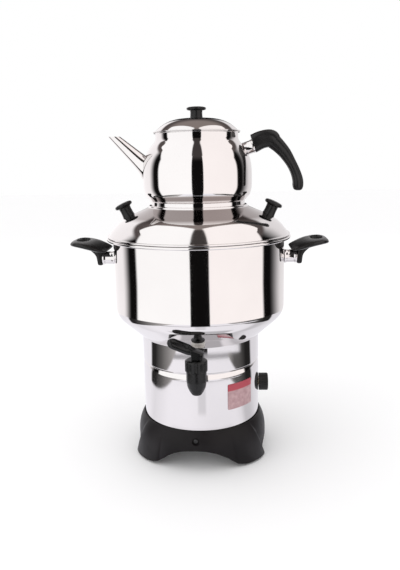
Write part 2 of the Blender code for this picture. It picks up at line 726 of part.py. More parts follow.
def make_base_ring():
    shape = bmesh.new()
    rings = []
    for middle, kind, place, swell, low in base_columns():
        in_foot = kind.startswith("foot")
        section = []
        for share in SKIRT_SHARES:
            height = low + (BASE_HEIGHT - low) * share
            fall = (BASE_HEIGHT - height) / (BASE_HEIGHT - SOLE_HEIGHT)
            section.append((skirt_radius(height) + TOE_SWELL * swell * fall, height))
        edge, _ = section[-1]
        floor = min(low + BASE_WALL, LEDGE_UNDERSIDE - CLEARANCE)
        inside = edge - BASE_WALL
        step = SOLE_INNER_RADIUS if in_foot else inside - BASE_WALL / 4.0
        section += [
            (step, low), (step, floor), (inside, floor),
            (skirt_radius(LEDGE_UNDERSIDE) - BASE_WALL, LEDGE_UNDERSIDE),
            (LEDGE_INNER_RADIUS, LEDGE_UNDERSIDE), (LEDGE_INNER_RADIUS, CASING_SEAT),
            (BASE_BORE, CASING_SEAT), (BASE_BORE, BASE_HEIGHT),
        ]
        ring = []
        for radius, height in section:
            turn = column_turn(middle, kind, place, height)
            ring.append(shape.verts.new((radius * math.sin(turn), -radius * math.cos(turn), height)))
        rings.append(ring)
    for near, far in zip(rings, rings[1:] + rings[:1]):
        count = len(near)
        for index in range(count):
            after = (index + 1) % count
            shape.faces.new((near[index], near[after], far[after], far[index]))
    bmesh.ops.triangulate(shape, faces=shape.faces)
    base = placed(shape, "base_ring", "plastic")
    hole = (SMALL_SHANK + CLEARANCE) / math.cos(math.pi / SMALL_FACETS)
    recess = [
        (0.0, -BASE_SKIRT_RADIUS / 4.0), (hole, -BASE_SKIRT_RADIUS / 4.0), (hole, -CASING_SCREW_DEPTH),
        (CASING_SCREW_RECESS, -CASING_SCREW_DEPTH), (CASING_SCREW_RECESS, OVERRUN), (0.0, OVERRUN),
    ]
    for index, place in enumerate(casing_screw_places()):
        combine(base, turned_cutter(f"recess_cutter_{index}", recess, SMALL_FACETS, place))
    neck = (GLAND_NECK + CLEARANCE) / math.cos(math.pi / SMALL_FACETS)
    flange = GLAND_FLANGE + GLAND_RECESS_RIM
    seat = gland_seat()
    spot = [(0.0, CASING_BORE - OVERRUN), (neck, CASING_BORE - OVERRUN), (neck, seat), (flange, seat),
            (flange, TOE_RADIUS), (0.0, TOE_RADIUS)]
    combine(base, turned_cutter("base_gland_cutter", spot, SMALL_FACETS, gland_place()))
    for index, place in enumerate(cover_screw_places()):
        drill(base, f"ledge_cutter_{index}", SMALL_SHANK + CLEARANCE, -OVERRUN,
              COVER_SCREW_LENGTH + LEDGE_THICKNESS, place)
    return base


def gland_place():
    """A frame on the pot's axis whose local Z axis points to the back at the gland's height."""
    turn = math.pi + BASE_TURN
    return along((math.sin(turn), -math.cos(turn), 0.0), (0.0, 0.0, GLAND_HEIGHT))


def gland_seat():
    """Radius of the flat seat cut for the gland, at the least radius of the base there."""
    return skirt_radius(GLAND_HEIGHT + GLAND_FLANGE) - GLAND_RECESS_RIM


def casing_screw_places():
    """Frames on the skirt of the base with local Z pointing outwards, the first at the front."""
    places = []
    for index in range(CASING_SCREW_COUNT):
        turn = BASE_TURN + math.tau * index / CASING_SCREW_COUNT
        outward = Vector((math.sin(turn), -math.cos(turn), 0.0))
        radius = skirt_radius(CASING_SCREW_HEIGHT)
        places.append(along(outward, outward * radius + AXIS * CASING_SCREW_HEIGHT))
    return places


def foot_spots(radius):
    """A point at the middle of each foot, at a radius on the floor."""
    spots = []
    for turn in (FOOT_TURN_SOLE, math.pi - FOOT_TURN_SOLE, math.pi + FOOT_TURN_SOLE, -FOOT_TURN_SOLE):
        turn += BASE_TURN
        spots.append(Vector((math.sin(turn), -math.cos(turn), 0.0)) * radius)
    return spots


def cover_screw_places():
    """Frames under the bottom cover with local Z pointing up, one at the inside of each foot."""
    underside = LEDGE_UNDERSIDE - CLEARANCE - COVER_SHEET
    places = []
    for spot in foot_spots(COVER_SCREW_RADIUS):
        places.append(Matrix.Translation(spot + AXIS * (underside - CLEARANCE)))
    return places


def make_base_group():
    make_base_ring()
    for index, spot in enumerate(foot_spots(PAD_CENTRE_RADIUS)):
        turned(f"foot_pad_{index + 1}", rod_outline(PAD_RADIUS, 0.0, SOLE_HEIGHT - CLEARANCE),
               "rubber", SMALL_FACETS, Matrix.Translation(spot))
    underside = LEDGE_UNDERSIDE - CLEARANCE - COVER_SHEET
    cover = turned("bottom_cover", rod_outline(COVER_RADIUS, underside, underside + COVER_SHEET),
                   "zinc", POT_FACETS)
    for index, place in enumerate(cover_screw_places()):
        drill(cover, f"cover_cutter_{index}", SMALL_SHANK + CLEARANCE, -OVERRUN, OVERRUN * 2.0, place)
        screw(f"cover_screw_{index + 1}", SMALL_SHANK, COVER_SCREW_HEAD, SMALL_HEAD_HEIGHT,
              COVER_SCREW_LENGTH, place)
    head_seat = CASING_SCREW_DEPTH - CLEARANCE
    for index, place in enumerate(casing_screw_places()):
        inward = place @ Matrix.Translation((0.0, 0.0, -head_seat)) @ Matrix.Rotation(math.pi, 4, "X")
        reach = place.translation.xy.length - head_seat - CASING_BORE + CASING_SCREW_INSIDE
        screw(f"casing_screw_{index + 1}", SMALL_SHANK, SMALL_HEAD, SMALL_HEAD_HEIGHT, reach, inward)


def make_casing():
    corners = [
        (CASING_RADIUS, CASING_SEAT + CLEARANCE, 0.0, 1),
        (CASING_RADIUS, BASE_HEIGHT, 0.0, 1),
        (CASING_RADIUS, CASING_TOP, CASING_CURL, 2),
        (CASING_RADIUS - CASING_CURL, CASING_TOP, 0.0, 1),
    ]
    casing = turned("lower_casing", sheet_outline(corners, CASING_SHEET), "steel", POT_FACETS)
    for index, place in enumerate(casing_screw_places()):
        drill(casing, f"casing_cutter_{index}", SMALL_SHANK + CLEARANCE,
              -BASE_SKIRT_RADIUS / 4.0, OVERRUN, place)
    drill(casing, "casing_gland_cutter", GLAND_NECK + CLEARANCE, CASING_BORE - OVERRUN * 2.0, TOE_RADIUS,
          gland_place(), SMALL_FACETS)
    drill(casing, "casing_bush_cutter", THERMOSTAT_BUSH + CLEARANCE, CASING_BORE - OVERRUN, TOE_RADIUS,
          thermostat_place())
    return casing


def make_label():
    """A bare label field, bent round the casing."""
    inner = CASING_RADIUS + CLEARANCE
    half = LABEL_WIDTH / CASING_RADIUS / 2.0
    sections = []
    for column in range(LABEL_COLUMNS + 1):
        turn = LABEL_TURN - half + 2.0 * half * column / LABEL_COLUMNS
        outward = Vector((math.sin(turn), -math.cos(turn), 0.0))
        section = []
        for radius, height in ((inner, LABEL_LOW), (inner + LABEL_SHEET, LABEL_LOW),
                               (inner + LABEL_SHEET, LABEL_LOW + LABEL_HEIGHT),
                               (inner, LABEL_LOW + LABEL_HEIGHT)):
            section.append(outward * radius + AXIS * height)
        sections.append(section)
    placed(lofted_shape(sections), "label_plate", "label")


def make_gland():
    """A grommet through the base and the casing, with an open bore for the cord."""
    outer = gland_seat() + CLEARANCE
    inner = CASING_BORE - SHEET_SEAT
    outline = [
        (GLAND_BORE, inner - OVERRUN), (GLAND_LIP, inner - OVERRUN), (GLAND_LIP, inner),
        (GLAND_NECK, inner), (GLAND_NECK, outer), (GLAND_FLANGE, outer),
        (GLAND_FLANGE, outer + GLAND_FLANGE_THICKNESS / 2.0),
        (GLAND_NECK, outer + GLAND_FLANGE_THICKNESS),
        (GLAND_BORE, outer + GLAND_FLANGE_THICKNESS),
    ]
    turned("cord_gland", outline, "rubber", SMALL_FACETS, gland_place())


def thermostat_place():
    """A frame on the pot's axis whose local Z axis points to +X at the thermostat's height."""
    return along((1.0, 0.0, 0.0), (0.0, 0.0, THERMOSTAT_HEIGHT))


def make_thermostat():
    place = thermostat_place()
    front = CASING_BORE - SHEET_SEAT
    back = front - THERMOSTAT_SIZE.x
    low = (back, -THERMOSTAT_SIZE.y / 2.0, THERMOSTAT_HEIGHT - THERMOSTAT_SIZE.z / 2.0)
    high = (front - THERMOSTAT_SIZE.y ** 2.0 / CASING_BORE / 8.0,
            THERMOSTAT_SIZE.y / 2.0, THERMOSTAT_HEIGHT + THERMOSTAT_SIZE.z / 2.0)
    body = placed(box_shape(low, high), "thermostat_body", "ceramic")
    nose = CASING_RADIUS + THERMOSTAT_BUSH_PROUD
    bush = turned_cutter("bush_solid", rod_outline(THERMOSTAT_BUSH, back + THERMOSTAT_SIZE.x / 2.0, nose),
                         SCREW_FACETS, place)
    combine(body, bush, "UNION")
    shaft_low = nose - THERMOSTAT_SHAFT_DEPTH
    drill(body, "shaft_cutter", THERMOSTAT_SHAFT + CLEARANCE, shaft_low, nose + OVERRUN, place)
    nut_low = CASING_RADIUS + CLEARANCE
    hex_nut("thermostat_nut", THERMOSTAT_BUSH + CLEARANCE, THERMOSTAT_NUT, nut_low,
            nut_low + THERMOSTAT_NUT_THICKNESS, "brass", place)
    knob_low = CASING_RADIUS + SHEET_SEAT
    knob_floor = knob_low + KNOB_SKIRT_DEPTH
    bore_end = KNOB_END - KNOB_ROOF
    turned("thermostat_shaft", rod_outline(THERMOSTAT_SHAFT, shaft_low + CLEARANCE, bore_end - CLEARANCE),
           "brass", SCREW_FACETS, place)
    bore = THERMOSTAT_SHAFT + CLEARANCE
    outline = [
        (0.0, bore_end), (bore, bore_end), (bore, knob_floor), (KNOB_SKIRT_BORE, knob_floor),
        (KNOB_SKIRT_BORE, knob_low), (KNOB_RADIUS, knob_low), (KNOB_RADIUS, KNOB_END - KNOB_DOME),
        (KNOB_RADIUS - KNOB_DOME / 2.0, KNOB_END - KNOB_DOME / 2.0),
        (KNOB_RADIUS - KNOB_DOME * 2.0, KNOB_END - KNOB_DOME / 8.0), (0.0, KNOB_END),
    ]
    turned("thermostat_knob", outline, "bakelite", SMALL_FACETS, place)


def make_terminals():
    """The terminal block on the bottom cover, and the leads that rise from it."""
    floor = LEDGE_UNDERSIDE
    low = Vector((-TERMINAL_SIZE.x / 2.0, TERMINAL_PLACE - TERMINAL_SIZE.y / 2.0, floor))
    placed(box_shape(low, low + TERMINAL_SIZE), "terminal_block", "ceramic")
    spread = Vector((TERMINAL_SIZE.x / 4.0, 0.0, 0.0))
    top = Vector((0.0, TERMINAL_PLACE, floor + TERMINAL_SIZE.z + LEAD_END_GAP))
    back = Vector((CASING_BORE - SHEET_SEAT - THERMOSTAT_SIZE.x - LEAD_END_GAP, 0.0, THERMOSTAT_HEIGHT))
    tab = Vector((0.0, THERMOSTAT_SIZE.y / 4.0, 0.0))
    inward = Vector((-LEAD_RISE, 0.0, 0.0))
    up = AXIS * LEAD_RISE
    low_leg = ELEMENT_LEG_END - LEAD_END_GAP
    right = element_leg(1.0)
    left = element_leg(-1.0)
    right_end = Vector((right.x, right.y, low_leg))
    left_end = Vector((left.x, left.y, low_leg))
    cutoff = AXIS * (TANK_FLOOR - CLEARANCE - CUTOFF_THICKNESS - LEAD_END_GAP)
    tag = Vector((0.0, CUTOFF_RADIUS / 2.0, 0.0))
    lead("lead_live", top + spread, up, back - tab, inward)
    lead("lead_neutral", top - spread, up, left_end, -up)
    lead("lead_switched", back + tab, inward, cutoff - tag, -up)
    lead("lead_heater", cutoff + tag, -up, right_end, -up)


def lead(name, start, leave, end, arrive):
    """An insulated wire on a smooth curve; leave and arrive point out of its two ends."""
    curve = bpy.data.curves.new(name, "CURVE")
    curve.dimensions = "3D"
    curve.bevel_depth = LEAD_RADIUS
    curve.bevel_resolution = 0
    curve.use_fill_caps = True
    spline = curve.splines.new("POLY")
    spline.points.add(LEAD_STEPS + 2)
    first = start + leave / LEAD_STEPS
    last = end + arrive / LEAD_STEPS
    route = [start]
    for index in range(LEAD_STEPS + 1):
        t = index / LEAD_STEPS
        u = 1.0 - t
        pull = (first + leave) * (3.0 * u * u * t) + (last + arrive) * (3.0 * u * t * t)
        route.append(first * u ** 3 + pull + last * t ** 3)
    route.append(end)
    for point, here in zip(spline.points, route):
        point.co = (*here, 1.0)
    curve.materials.append(material(name, *FINISHES["lead"]))
    made = bpy.data.objects.new(name, curve)
    bpy.context.scene.collection.objects.link(made)


def element_leg(side):
    """Where a leg of the heating element passes the tank floor, at the back of the ring."""
    angle = ELEMENT_LEG_ANGLE * side
    return Vector((math.sin(angle), math.cos(angle))) * ELEMENT_RING_RADIUS


def tank_corners():
    return [
        (0.0, TANK_FLOOR, 0.0, 1),
        (TANK_SPIGOT_RADIUS, TANK_FLOOR, TANK_FLOOR_FILLET, 1),
        (TANK_SPIGOT_RADIUS, TANK_SHOULDER, 0.0, 1),
        (CASING_RADIUS, TANK_SHOULDER, TANK_SHOULDER_FILLET, 1),
        (CASING_RADIUS, TANK_CONE_LOW, 0.0, 1),
        (TANK_RADIUS, TANK_CONE_HIGH, TANK_BELLY_FILLET, 4),
        (TANK_RADIUS, TANK_FLANGE_UNDERSIDE, 0.0, 1),
        (TANK_FLANGE_RADIUS, TANK_FLANGE_UNDERSIDE, TANK_CURL_FILLET, 1),
        (TANK_FLANGE_RADIUS, TANK_RIM, TANK_CURL_FILLET, 1),
        (TANK_FLANGE_RADIUS - TANK_CURL_WIDTH, TANK_RIM, 0.0, 1),
    ]


def make_tank():
    tank = turned("water_tank", sheet_outline(tank_corners(), TANK_SHEET), "steel", POT_FACETS,
                  Matrix.Rotation(TANK_SEAM_TURN, 4, "Z"))
    for side in (-1.0, 1.0):
        leg = element_leg(side)
        tag = "left" if side < 0.0 else "right"
        drill(tank, f"leg_cutter_{tag}", ELEMENT_TUBE + CLEARANCE, TANK_FLOOR - OVERRUN,
              TANK_INNER_FLOOR + OVERRUN, Matrix.Translation((leg.x, leg.y, 0.0)), SMALL_FACETS)
        drill(tank, f"handle_cutter_{tag}", BIG_SHANK + CLEARANCE, TANK_BORE - OVERRUN,
              TANK_RADIUS + OVERRUN, along((side, 0.0, 0.0), (0.0, 0.0, HANDLE_HEIGHT)))
    drill(tank, "shank_cutter", TAP_SHANK_RADIUS + CLEARANCE, TANK_NARROW_BORE - OVERRUN * 2.0,
          CASING_RADIUS + OVERRUN, tap_shank_place(), SMALL_FACETS)
    return tank


def make_element():
    """A tubular ring heater whose two legs turn down through the tank floor."""
    gap = ELEMENT_LEG_ANGLE
    points = []
    for index in range(ELEMENT_RING_STEPS + 1):
        turn = gap + (math.tau - 2.0 * gap) * index / ELEMENT_RING_STEPS
        points.append(Vector((math.sin(turn), math.cos(turn), 0.0)) * ELEMENT_RING_RADIUS
                      + AXIS * ELEMENT_HEIGHT)
    start = element_leg_points(points[0])
    end = element_leg_points(points[-1])
    route = start[::-1] + points[1:-1] + end
    curve = bpy.data.curves.new("heating_element", "CURVE")
    curve.dimensions = "3D"
    curve.bevel_depth = ELEMENT_TUBE
    curve.bevel_resolution = 2
    curve.use_fill_caps = True
    spline = curve.splines.new("POLY")
    spline.points.add(len(route) - 1)
    for point, here in zip(spline.points, route):
        point.co = (*here, 1.0)
    curve.materials.append(material("heating_element", *FINISHES["steel"]))
    made = bpy.data.objects.new("heating_element", curve)
    bpy.context.scene.collection.objects.link(made)


def element_leg_points(corner):
    """The bend from the ring into a leg, and the end of the leg."""
    side = 1.0 if corner.x > 0.0 else -1.0
    along_ring = Vector((corner.y, -corner.x, 0.0)).normalized() * side
    centre = corner + along_ring * ELEMENT_BEND - AXIS * ELEMENT_BEND
    points = []
    for step in range(ELEMENT_BEND_STEPS + 1):
        angle = math.pi / 2.0 * step / ELEMENT_BEND_STEPS
        points.append(centre + AXIS * ELEMENT_BEND * math.cos(angle)
                      - along_ring * ELEMENT_BEND * math.sin(angle))
    points.append(Vector((corner.x, corner.y, ELEMENT_LEG_END)))
    return points


def make_element_fittings():
    for side in (-1.0, 1.0):
        tag = "left" if side < 0.0 else "right"
        leg = element_leg(side)
        place = Matrix.Translation((leg.x, leg.y, 0.0))
        low = TANK_INNER_FLOOR + CLEARANCE
        bore = (ELEMENT_TUBE + CLEARANCE) / math.cos(math.pi / SMALL_FACETS)
        turned(f"element_seal_{tag}", ring_outline(bore, ELEMENT_SEAL_RADIUS, low,
                                                   low + ELEMENT_SEAL_THICKNESS), "silicone",
               SMALL_FACETS, place)
        top = TANK_FLOOR - CLEARANCE
        hex_nut(f"element_nut_{tag}", ELEMENT_TUBE + CLEARANCE, ELEMENT_NUT_RADIUS,
                top - ELEMENT_NUT_THICKNESS, top, "brass", place)
    top = TANK_FLOOR - CLEARANCE
    turned("thermal_cutoff", rod_outline(CUTOFF_RADIUS, top - CUTOFF_THICKNESS, top), "ceramic",
           SMALL_FACETS)


def tap_shank_place():
    """A frame on the pot's axis whose local Z axis runs out through the tap shank, to -Y."""
    return along((0.0, -1.0, 0.0), (0.0, 0.0, TAP_SHANK_HEIGHT))


def tap_place():
    return Matrix.Translation((0.0, -TAP_REACH, 0.0))


def make_tap_body():
    outline = [
        (0.0, TAP_OUTLET_LOW), (TAP_OUTLET_RADIUS, TAP_OUTLET_LOW), (TAP_CHIN_RADIUS, TAP_CHIN),
        (TAP_JAW_RADIUS, TAP_JAW), (TAP_BODY_RADIUS, TAP_BODY_LOW), (TAP_BODY_RADIUS, TAP_NECK_LOW),
        (TAP_NECK_RADIUS, TAP_NECK_LOW), (TAP_NECK_RADIUS, TAP_NECK_TOP), (0.0, TAP_NECK_TOP),
    ]
    body = turned("tap_body", outline, "bakelite", SMALL_FACETS, tap_place())
    shoulder = CASING_RADIUS + CLEARANCE + TAP_SEAL_THICKNESS + CLEARANCE
    inside = CASING_RADIUS - TANK_SHEET - TAP_SHANK_INSIDE
    shank = [
        (0.0, inside), (TAP_SHANK_RADIUS, inside), (TAP_SHANK_RADIUS, shoulder),
        (TAP_FLANGE_RADIUS, shoulder), (TAP_FLANGE_RADIUS, shoulder + TAP_FLANGE_THICKNESS),
        (TAP_ARM_RADIUS, shoulder + TAP_FLANGE_THICKNESS * 2.0), (TAP_ARM_RADIUS, TAP_REACH),
        (0.0, TAP_REACH),
    ]
    combine(body, turned_cutter("shank_solid", shank, SMALL_FACETS, tap_shank_place()), "UNION")
    chamber = [
        (0.0, TAP_OUTLET_LOW - OVERRUN), (TAP_OUTLET_BORE, TAP_OUTLET_LOW - OVERRUN),
        (TAP_OUTLET_BORE, TAP_SEAT_LOW), (TAP_CHAMBER_RADIUS, TAP_SEAT_HIGH),
        (TAP_CHAMBER_RADIUS, TAP_NECK_TOP + OVERRUN), (0.0, TAP_NECK_TOP + OVERRUN),
    ]
    combine(body, turned_cutter("chamber_cutter", chamber, SMALL_FACETS, tap_place()))
    bore = rod_outline(TAP_SHANK_BORE, inside - OVERRUN, TAP_REACH - TAP_CHAMBER_RADIUS / 2.0)
    combine(body, turned_cutter("bore_cutter", bore, SMALL_FACETS, tap_shank_place()))


def make_tap_fittings():
    """Silicone washers on both sides of the tank wall, each hollowed to fit it, and the nut."""
    bore = TAP_SHANK_RADIUS + CLEARANCE
    outer_face = CASING_RADIUS + CLEARANCE + TAP_SEAL_THICKNESS
    wall = turned_cutter("wall_cutter", rod_outline(CASING_RADIUS + CLEARANCE, TANK_SHOULDER - OVERRUN,
                                                    TANK_CONE_LOW), POT_FACETS)
    outer = turned("tap_seal_outer", ring_outline(bore, TAP_SEAL_RADIUS, CASING_RADIUS - OVERRUN,
                                                  outer_face), "silicone", SMALL_FACETS, tap_shank_place())
    combine(outer, wall)
    flat = TANK_NARROW_BORE - TAP_INNER_SEAL_RADIUS ** 2.0 / TANK_NARROW_BORE - CLEARANCE
    turned("tap_seal_inner", ring_outline(bore, TAP_INNER_SEAL_RADIUS, flat - TAP_SEAL_THICKNESS, flat),
           "silicone", SMALL_FACETS, tap_shank_place())
    nut_face = flat - TAP_SEAL_THICKNESS - CLEARANCE
    hex_nut("tap_nut", bore, TAP_NUT_RADIUS, nut_face - TAP_NUT_THICKNESS, nut_face, "zinc",
            tap_shank_place())


def make_bonnet():
    """The screwed collar with shallow flutes, over the neck of the tap."""
    stem_bore = STEM_RADIUS + CLEARANCE
    roof = BONNET_TOP - BONNET_ROOF
    outline = [
        (stem_bore, roof), (TAP_NECK_RADIUS + CLEARANCE, roof),
        (TAP_NECK_RADIUS + CLEARANCE, TAP_BONNET_LOW), (BONNET_RADIUS, TAP_BONNET_LOW),
        (BONNET_RADIUS, BONNET_TOP - BONNET_CHAMFER / 2.0),
        (BONNET_RADIUS - BONNET_CHAMFER, BONNET_TOP), (stem_bore, BONNET_TOP),
    ]
    facets = BONNET_FLUTES * 2
    bonnet = turned_shape(outline, facets)
    for vert in bonnet.verts:
        on_rim = vert.co.xy.length > BONNET_RADIUS - MERGE_DISTANCE
        turn = round(math.atan2(vert.co.y, vert.co.x) / math.tau * facets)
        if on_rim and turn % 2:
            vert.co.xy *= 1.0 - BONNET_FLUTE_DEPTH / BONNET_RADIUS
    placed(bonnet, "tap_bonnet", "bakelite", tap_place())


def make_stem():
    """The stem and the pin turn about the pin's height, where the lever pivots."""
    place = Matrix.Translation((0.0, -TAP_REACH, PIN_HEIGHT))
    foot = STEM_FOOT - PIN_HEIGHT
    step = STEM_STEP - PIN_HEIGHT
    outline = [(0.0, foot), (STEM_FOOT_RADIUS, foot), (STEM_FOOT_RADIUS, step), (STEM_RADIUS, step),
               (STEM_RADIUS, STEM_ABOVE_PIN), (0.0, STEM_ABOVE_PIN)]
    stem = turned("tap_stem", outline, "zinc", SMALL_FACETS, place)
    across = along((0.0, -1.0, 0.0), place.translation)
    drill(stem, "stem_pin_cutter", PIN_RADIUS + CLEARANCE, -STEM_RADIUS - OVERRUN,
          STEM_RADIUS + OVERRUN, across)
    half = LEVER_BLOCK_WIDTH / 2.0 - CLEARANCE
    turned("tap_pin", rod_outline(PIN_RADIUS, -half, half), "zinc", SCREW_FACETS, across)
    slope = (TAP_SEAT_HIGH - TAP_SEAT_LOW) / (TAP_CHAMBER_RADIUS - TAP_OUTLET_BORE)
    lift = CLEARANCE * math.hypot(1.0, slope)

    def seat(radius):
        return TAP_SEAT_LOW + lift + slope * (radius - TAP_OUTLET_BORE)

    socket = STEM_FOOT_RADIUS + CLEARANCE
    cup = [
        (0.0, seat(CUP_NOSE)), (CUP_NOSE, seat(CUP_NOSE)), (CUP_RADIUS, seat(CUP_RADIUS)),
        (CUP_RADIUS, seat(CUP_RADIUS) + CUP_BRIM),
        (CUP_NECK_RADIUS, seat(CUP_RADIUS) + CUP_NECK_HEIGHT), (CUP_NECK_RADIUS, CUP_TOP),
        (socket, CUP_TOP), (socket, STEM_FOOT - CLEARANCE), (0.0, STEM_FOOT - CLEARANCE),
    ]
    turned("tap_seat_cup", cup, "silicone", SMALL_FACETS, tap_place())


def make_lever():
    """A paddle with a finger recess, on a forked block that rocks on the bonnet.

    The slot's roof clears the corner of the stem's end at any tilt.
    """
    place = Matrix.Translation((0.0, -TAP_REACH, PIN_HEIGHT))
    rise = Vector((-math.cos(LEVER_TILT), 0.0, math.sin(LEVER_TILT)))
    upward = Vector((math.sin(LEVER_TILT), 0.0, math.cos(LEVER_TILT)))
    across = Vector((0.0, 1.0, 0.0))
    half = LEVER_THICKNESS / 2.0
    sections = []
    for index in range(LEVER_STEPS + 1):
        t = index / LEVER_STEPS
        place_along = -LEVER_BACK + (LEVER_LENGTH + LEVER_BACK) * math.sin(t * math.pi / 2.0)
        width = (LEVER_WIDTH + (LEVER_TIP_WIDTH - LEVER_WIDTH) * t) / 2.0
        ends = math.sqrt(1.0 - max(0.0, (place_along - LEVER_LENGTH + width) / width) ** 2.0)
        taper = max(ends, 1.0 / LEVER_STEPS)
        centre = AXIS * LEVER_ABOVE_PIN + rise * place_along
        sections.append(rounded_section(centre, across, upward, width * taper,
                                        half * max(taper, KNOB_BORE_SHARE), GRIP_SECTION_POWER,
                                        GRIP_SECTION_POINTS))
    lever = placed(lofted_shape(sections), "tap_lever", "bakelite", place)
    floor = BONNET_TOP + CLEARANCE - PIN_HEIGHT
    block = filleted([
        (LEVER_HEEL, half, 0.0, 1), (LEVER_HEEL, floor, LEVER_HEEL_FILLET, 2),
        (-LEVER_HEEL, floor, LEVER_HEEL_FILLET, 2), (-LEVER_HEEL, LEVER_THICKNESS, 0.0, 1),
    ])
    sides = []
    for y in (-LEVER_BLOCK_WIDTH / 2.0, LEVER_BLOCK_WIDTH / 2.0):
        sides.append([Vector((x, y, z)) for x, z in block])
    combine(lever, cutter(lofted_shape(sides), "block_solid", place), "UNION")
    slot = STEM_RADIUS + LEVER_SLOT_SIDE
    room = LEVER_HEEL * 2.0
    low = (-room, -slot, floor - OVERRUN)
    roof = math.hypot(STEM_RADIUS, STEM_ABOVE_PIN) + CLEARANCE
    high = (slot + OVERRUN, slot, roof)
    combine(lever, cutter(box_shape(low, high), "slot_cutter", place))
    drill(lever, "lever_pin_cutter", PIN_RADIUS + CLEARANCE, -LEVER_BLOCK_WIDTH, LEVER_BLOCK_WIDTH,
          along(across, place.translation))
    recess_half = LEVER_WIDTH / 2.0 - LEVER_RECESS_RIM
    recess_end = LEVER_LENGTH - LEVER_RECESS_RIM
    recess = []
    for height in (half - LEVER_RECESS_DEPTH, half + OVERRUN):
        ring = []
        middle = (AXIS * LEVER_ABOVE_PIN + rise * ((LEVER_RECESS_START + recess_end) / 2.0)
                  + upward * height)
        grow = 1.0 if height > half else 1.0 - LEVER_RECESS_DEPTH / recess_half
        for point in rounded_section(middle, rise, across, (recess_end - LEVER_RECESS_START) / 2.0 * grow,
                                     recess_half * grow, GRIP_SECTION_POWER, GRIP_SECTION_POINTS):
            ring.append(point)
        recess.append(ring)
    combine(lever, cutter(lofted_shape(recess), "recess_cutter_lever", place))


def make_side_handle(side):
    """One side handle: steel ferrule, wing on its post, and the screw from inside the tank."""
    tag = "left" if side < 0.0 else "right"
    place = along((side, 0.0, 0.0), (0.0, 0.0, HANDLE_HEIGHT))
    start = TANK_RADIUS + CLEARANCE
    end = start + FERRULE_LENGTH
    waist = FERRULE_RADIUS - FERRULE_WAIST
    bore = FERRULE_RADIUS - FERRULE_WALL
    turned(f"handle_ferrule_{tag}", [
        (bore, start), (FERRULE_RADIUS, start), (waist, start + FERRULE_LENGTH / 4.0),
        (waist, end - FERRULE_LENGTH / 4.0), (FERRULE_RADIUS, end), (bore, end),
    ], "steel", SMALL_FACETS, place)
    grip_face = end + CLEARANCE
    sections = []
    across = Vector((0.0, 1.0, 0.0))
    for reach, rise, width, thick in zip(WING_PLACE_SHARES, WING_RISE_SHARES, WING_WIDTH_SHARES,
                                         WING_THICKNESS_SHARES):
        centre = Vector((side * (WING_START + WING_REACH * reach), 0.0, WING_LOW + WING_RISE * rise))
        sections.append(rounded_section(centre, across, AXIS, WING_WIDTH / 2.0 * width,
                                        WING_THICKNESS / 2.0 * thick, WING_SECTION_POWER,
                                        WING_SECTION_POINTS))
    grip = placed(lofted_shape(sections), f"handle_grip_{tag}", "bakelite")
    post = []
    low = HANDLE_HEIGHT - POST_DROP
    top = WING_LOW + WING_RISE / 2.0
    for rise, reach, width in zip(POST_RISE_SHARES, POST_REACH_SHARES, POST_WIDTH_SHARES):
        half = POST_REACH * reach / 2.0
        centre = Vector((side * (grip_face + half), 0.0, low + (top - low) * rise))
        post.append(rounded_section(centre, across, Vector((side, 0.0, 0.0)), POST_WIDTH / 2.0 * width,
                                    half, POST_SECTION_POWER, WING_SECTION_POINTS))
    combine(grip, cutter(lofted_shape(post), f"post_solid_{tag}"), "UNION")
    slot = []
    for height in (WING_LOW - WING_THICKNESS, WING_LOW + WING_RISE + WING_THICKNESS):
        slot.append(rounded_section(Vector((side * SLOT_PLACE, 0.0, height)), across,
                                    Vector((side, 0.0, 0.0)), SLOT_WIDTH / 2.0, SLOT_LENGTH / 2.0,
                                    WING_SECTION_POWER, WING_SECTION_POINTS))
    combine(grip, cutter(lofted_shape(slot), f"slot_cutter_{tag}"))
    tip = grip_face + HANDLE_SCREW_DEPTH
    drill(grip, f"grip_screw_cutter_{tag}", BIG_SHANK + CLEARANCE, end, tip + CLEARANCE, place)
    seat = TANK_BORE - SHEET_SEAT
    screw(f"handle_screw_{tag}", BIG_SHANK, BIG_HEAD, BIG_HEAD_HEIGHT, tip - seat,
          place @ Matrix.Translation((0.0, 0.0, seat)))


def lid_dome(radius):
    """Height of the outer face of the pot lid at a radius."""
    return LID_DOME_FOOT + LID_DOME_RISE * (1.0 - (radius / LID_DOME_RADIUS) ** LID_DOME_POWER)


def lid_path():
    """Outer face of the lid, from the edge of its hole over the collar and down the dome."""
    corners = [
        (LID_HOLE_RADIUS, COLLAR_SEAT, 0.0, 1),
        (COLLAR_BORE, COLLAR_SEAT, 0.0, 1),
        (COLLAR_BORE, COLLAR_TOP, COLLAR_FILLET, 1),
        (COLLAR_RADIUS, COLLAR_TOP, COLLAR_FILLET, 1),
        (COLLAR_RADIUS, lid_dome(COLLAR_RADIUS), 0.0, 1),
    ]
    points = filleted(corners)
    for share in LID_DOME_SHARES:
        radius = LID_DOME_RADIUS * share
        points.append(Vector((radius, lid_dome(radius))))
    return points


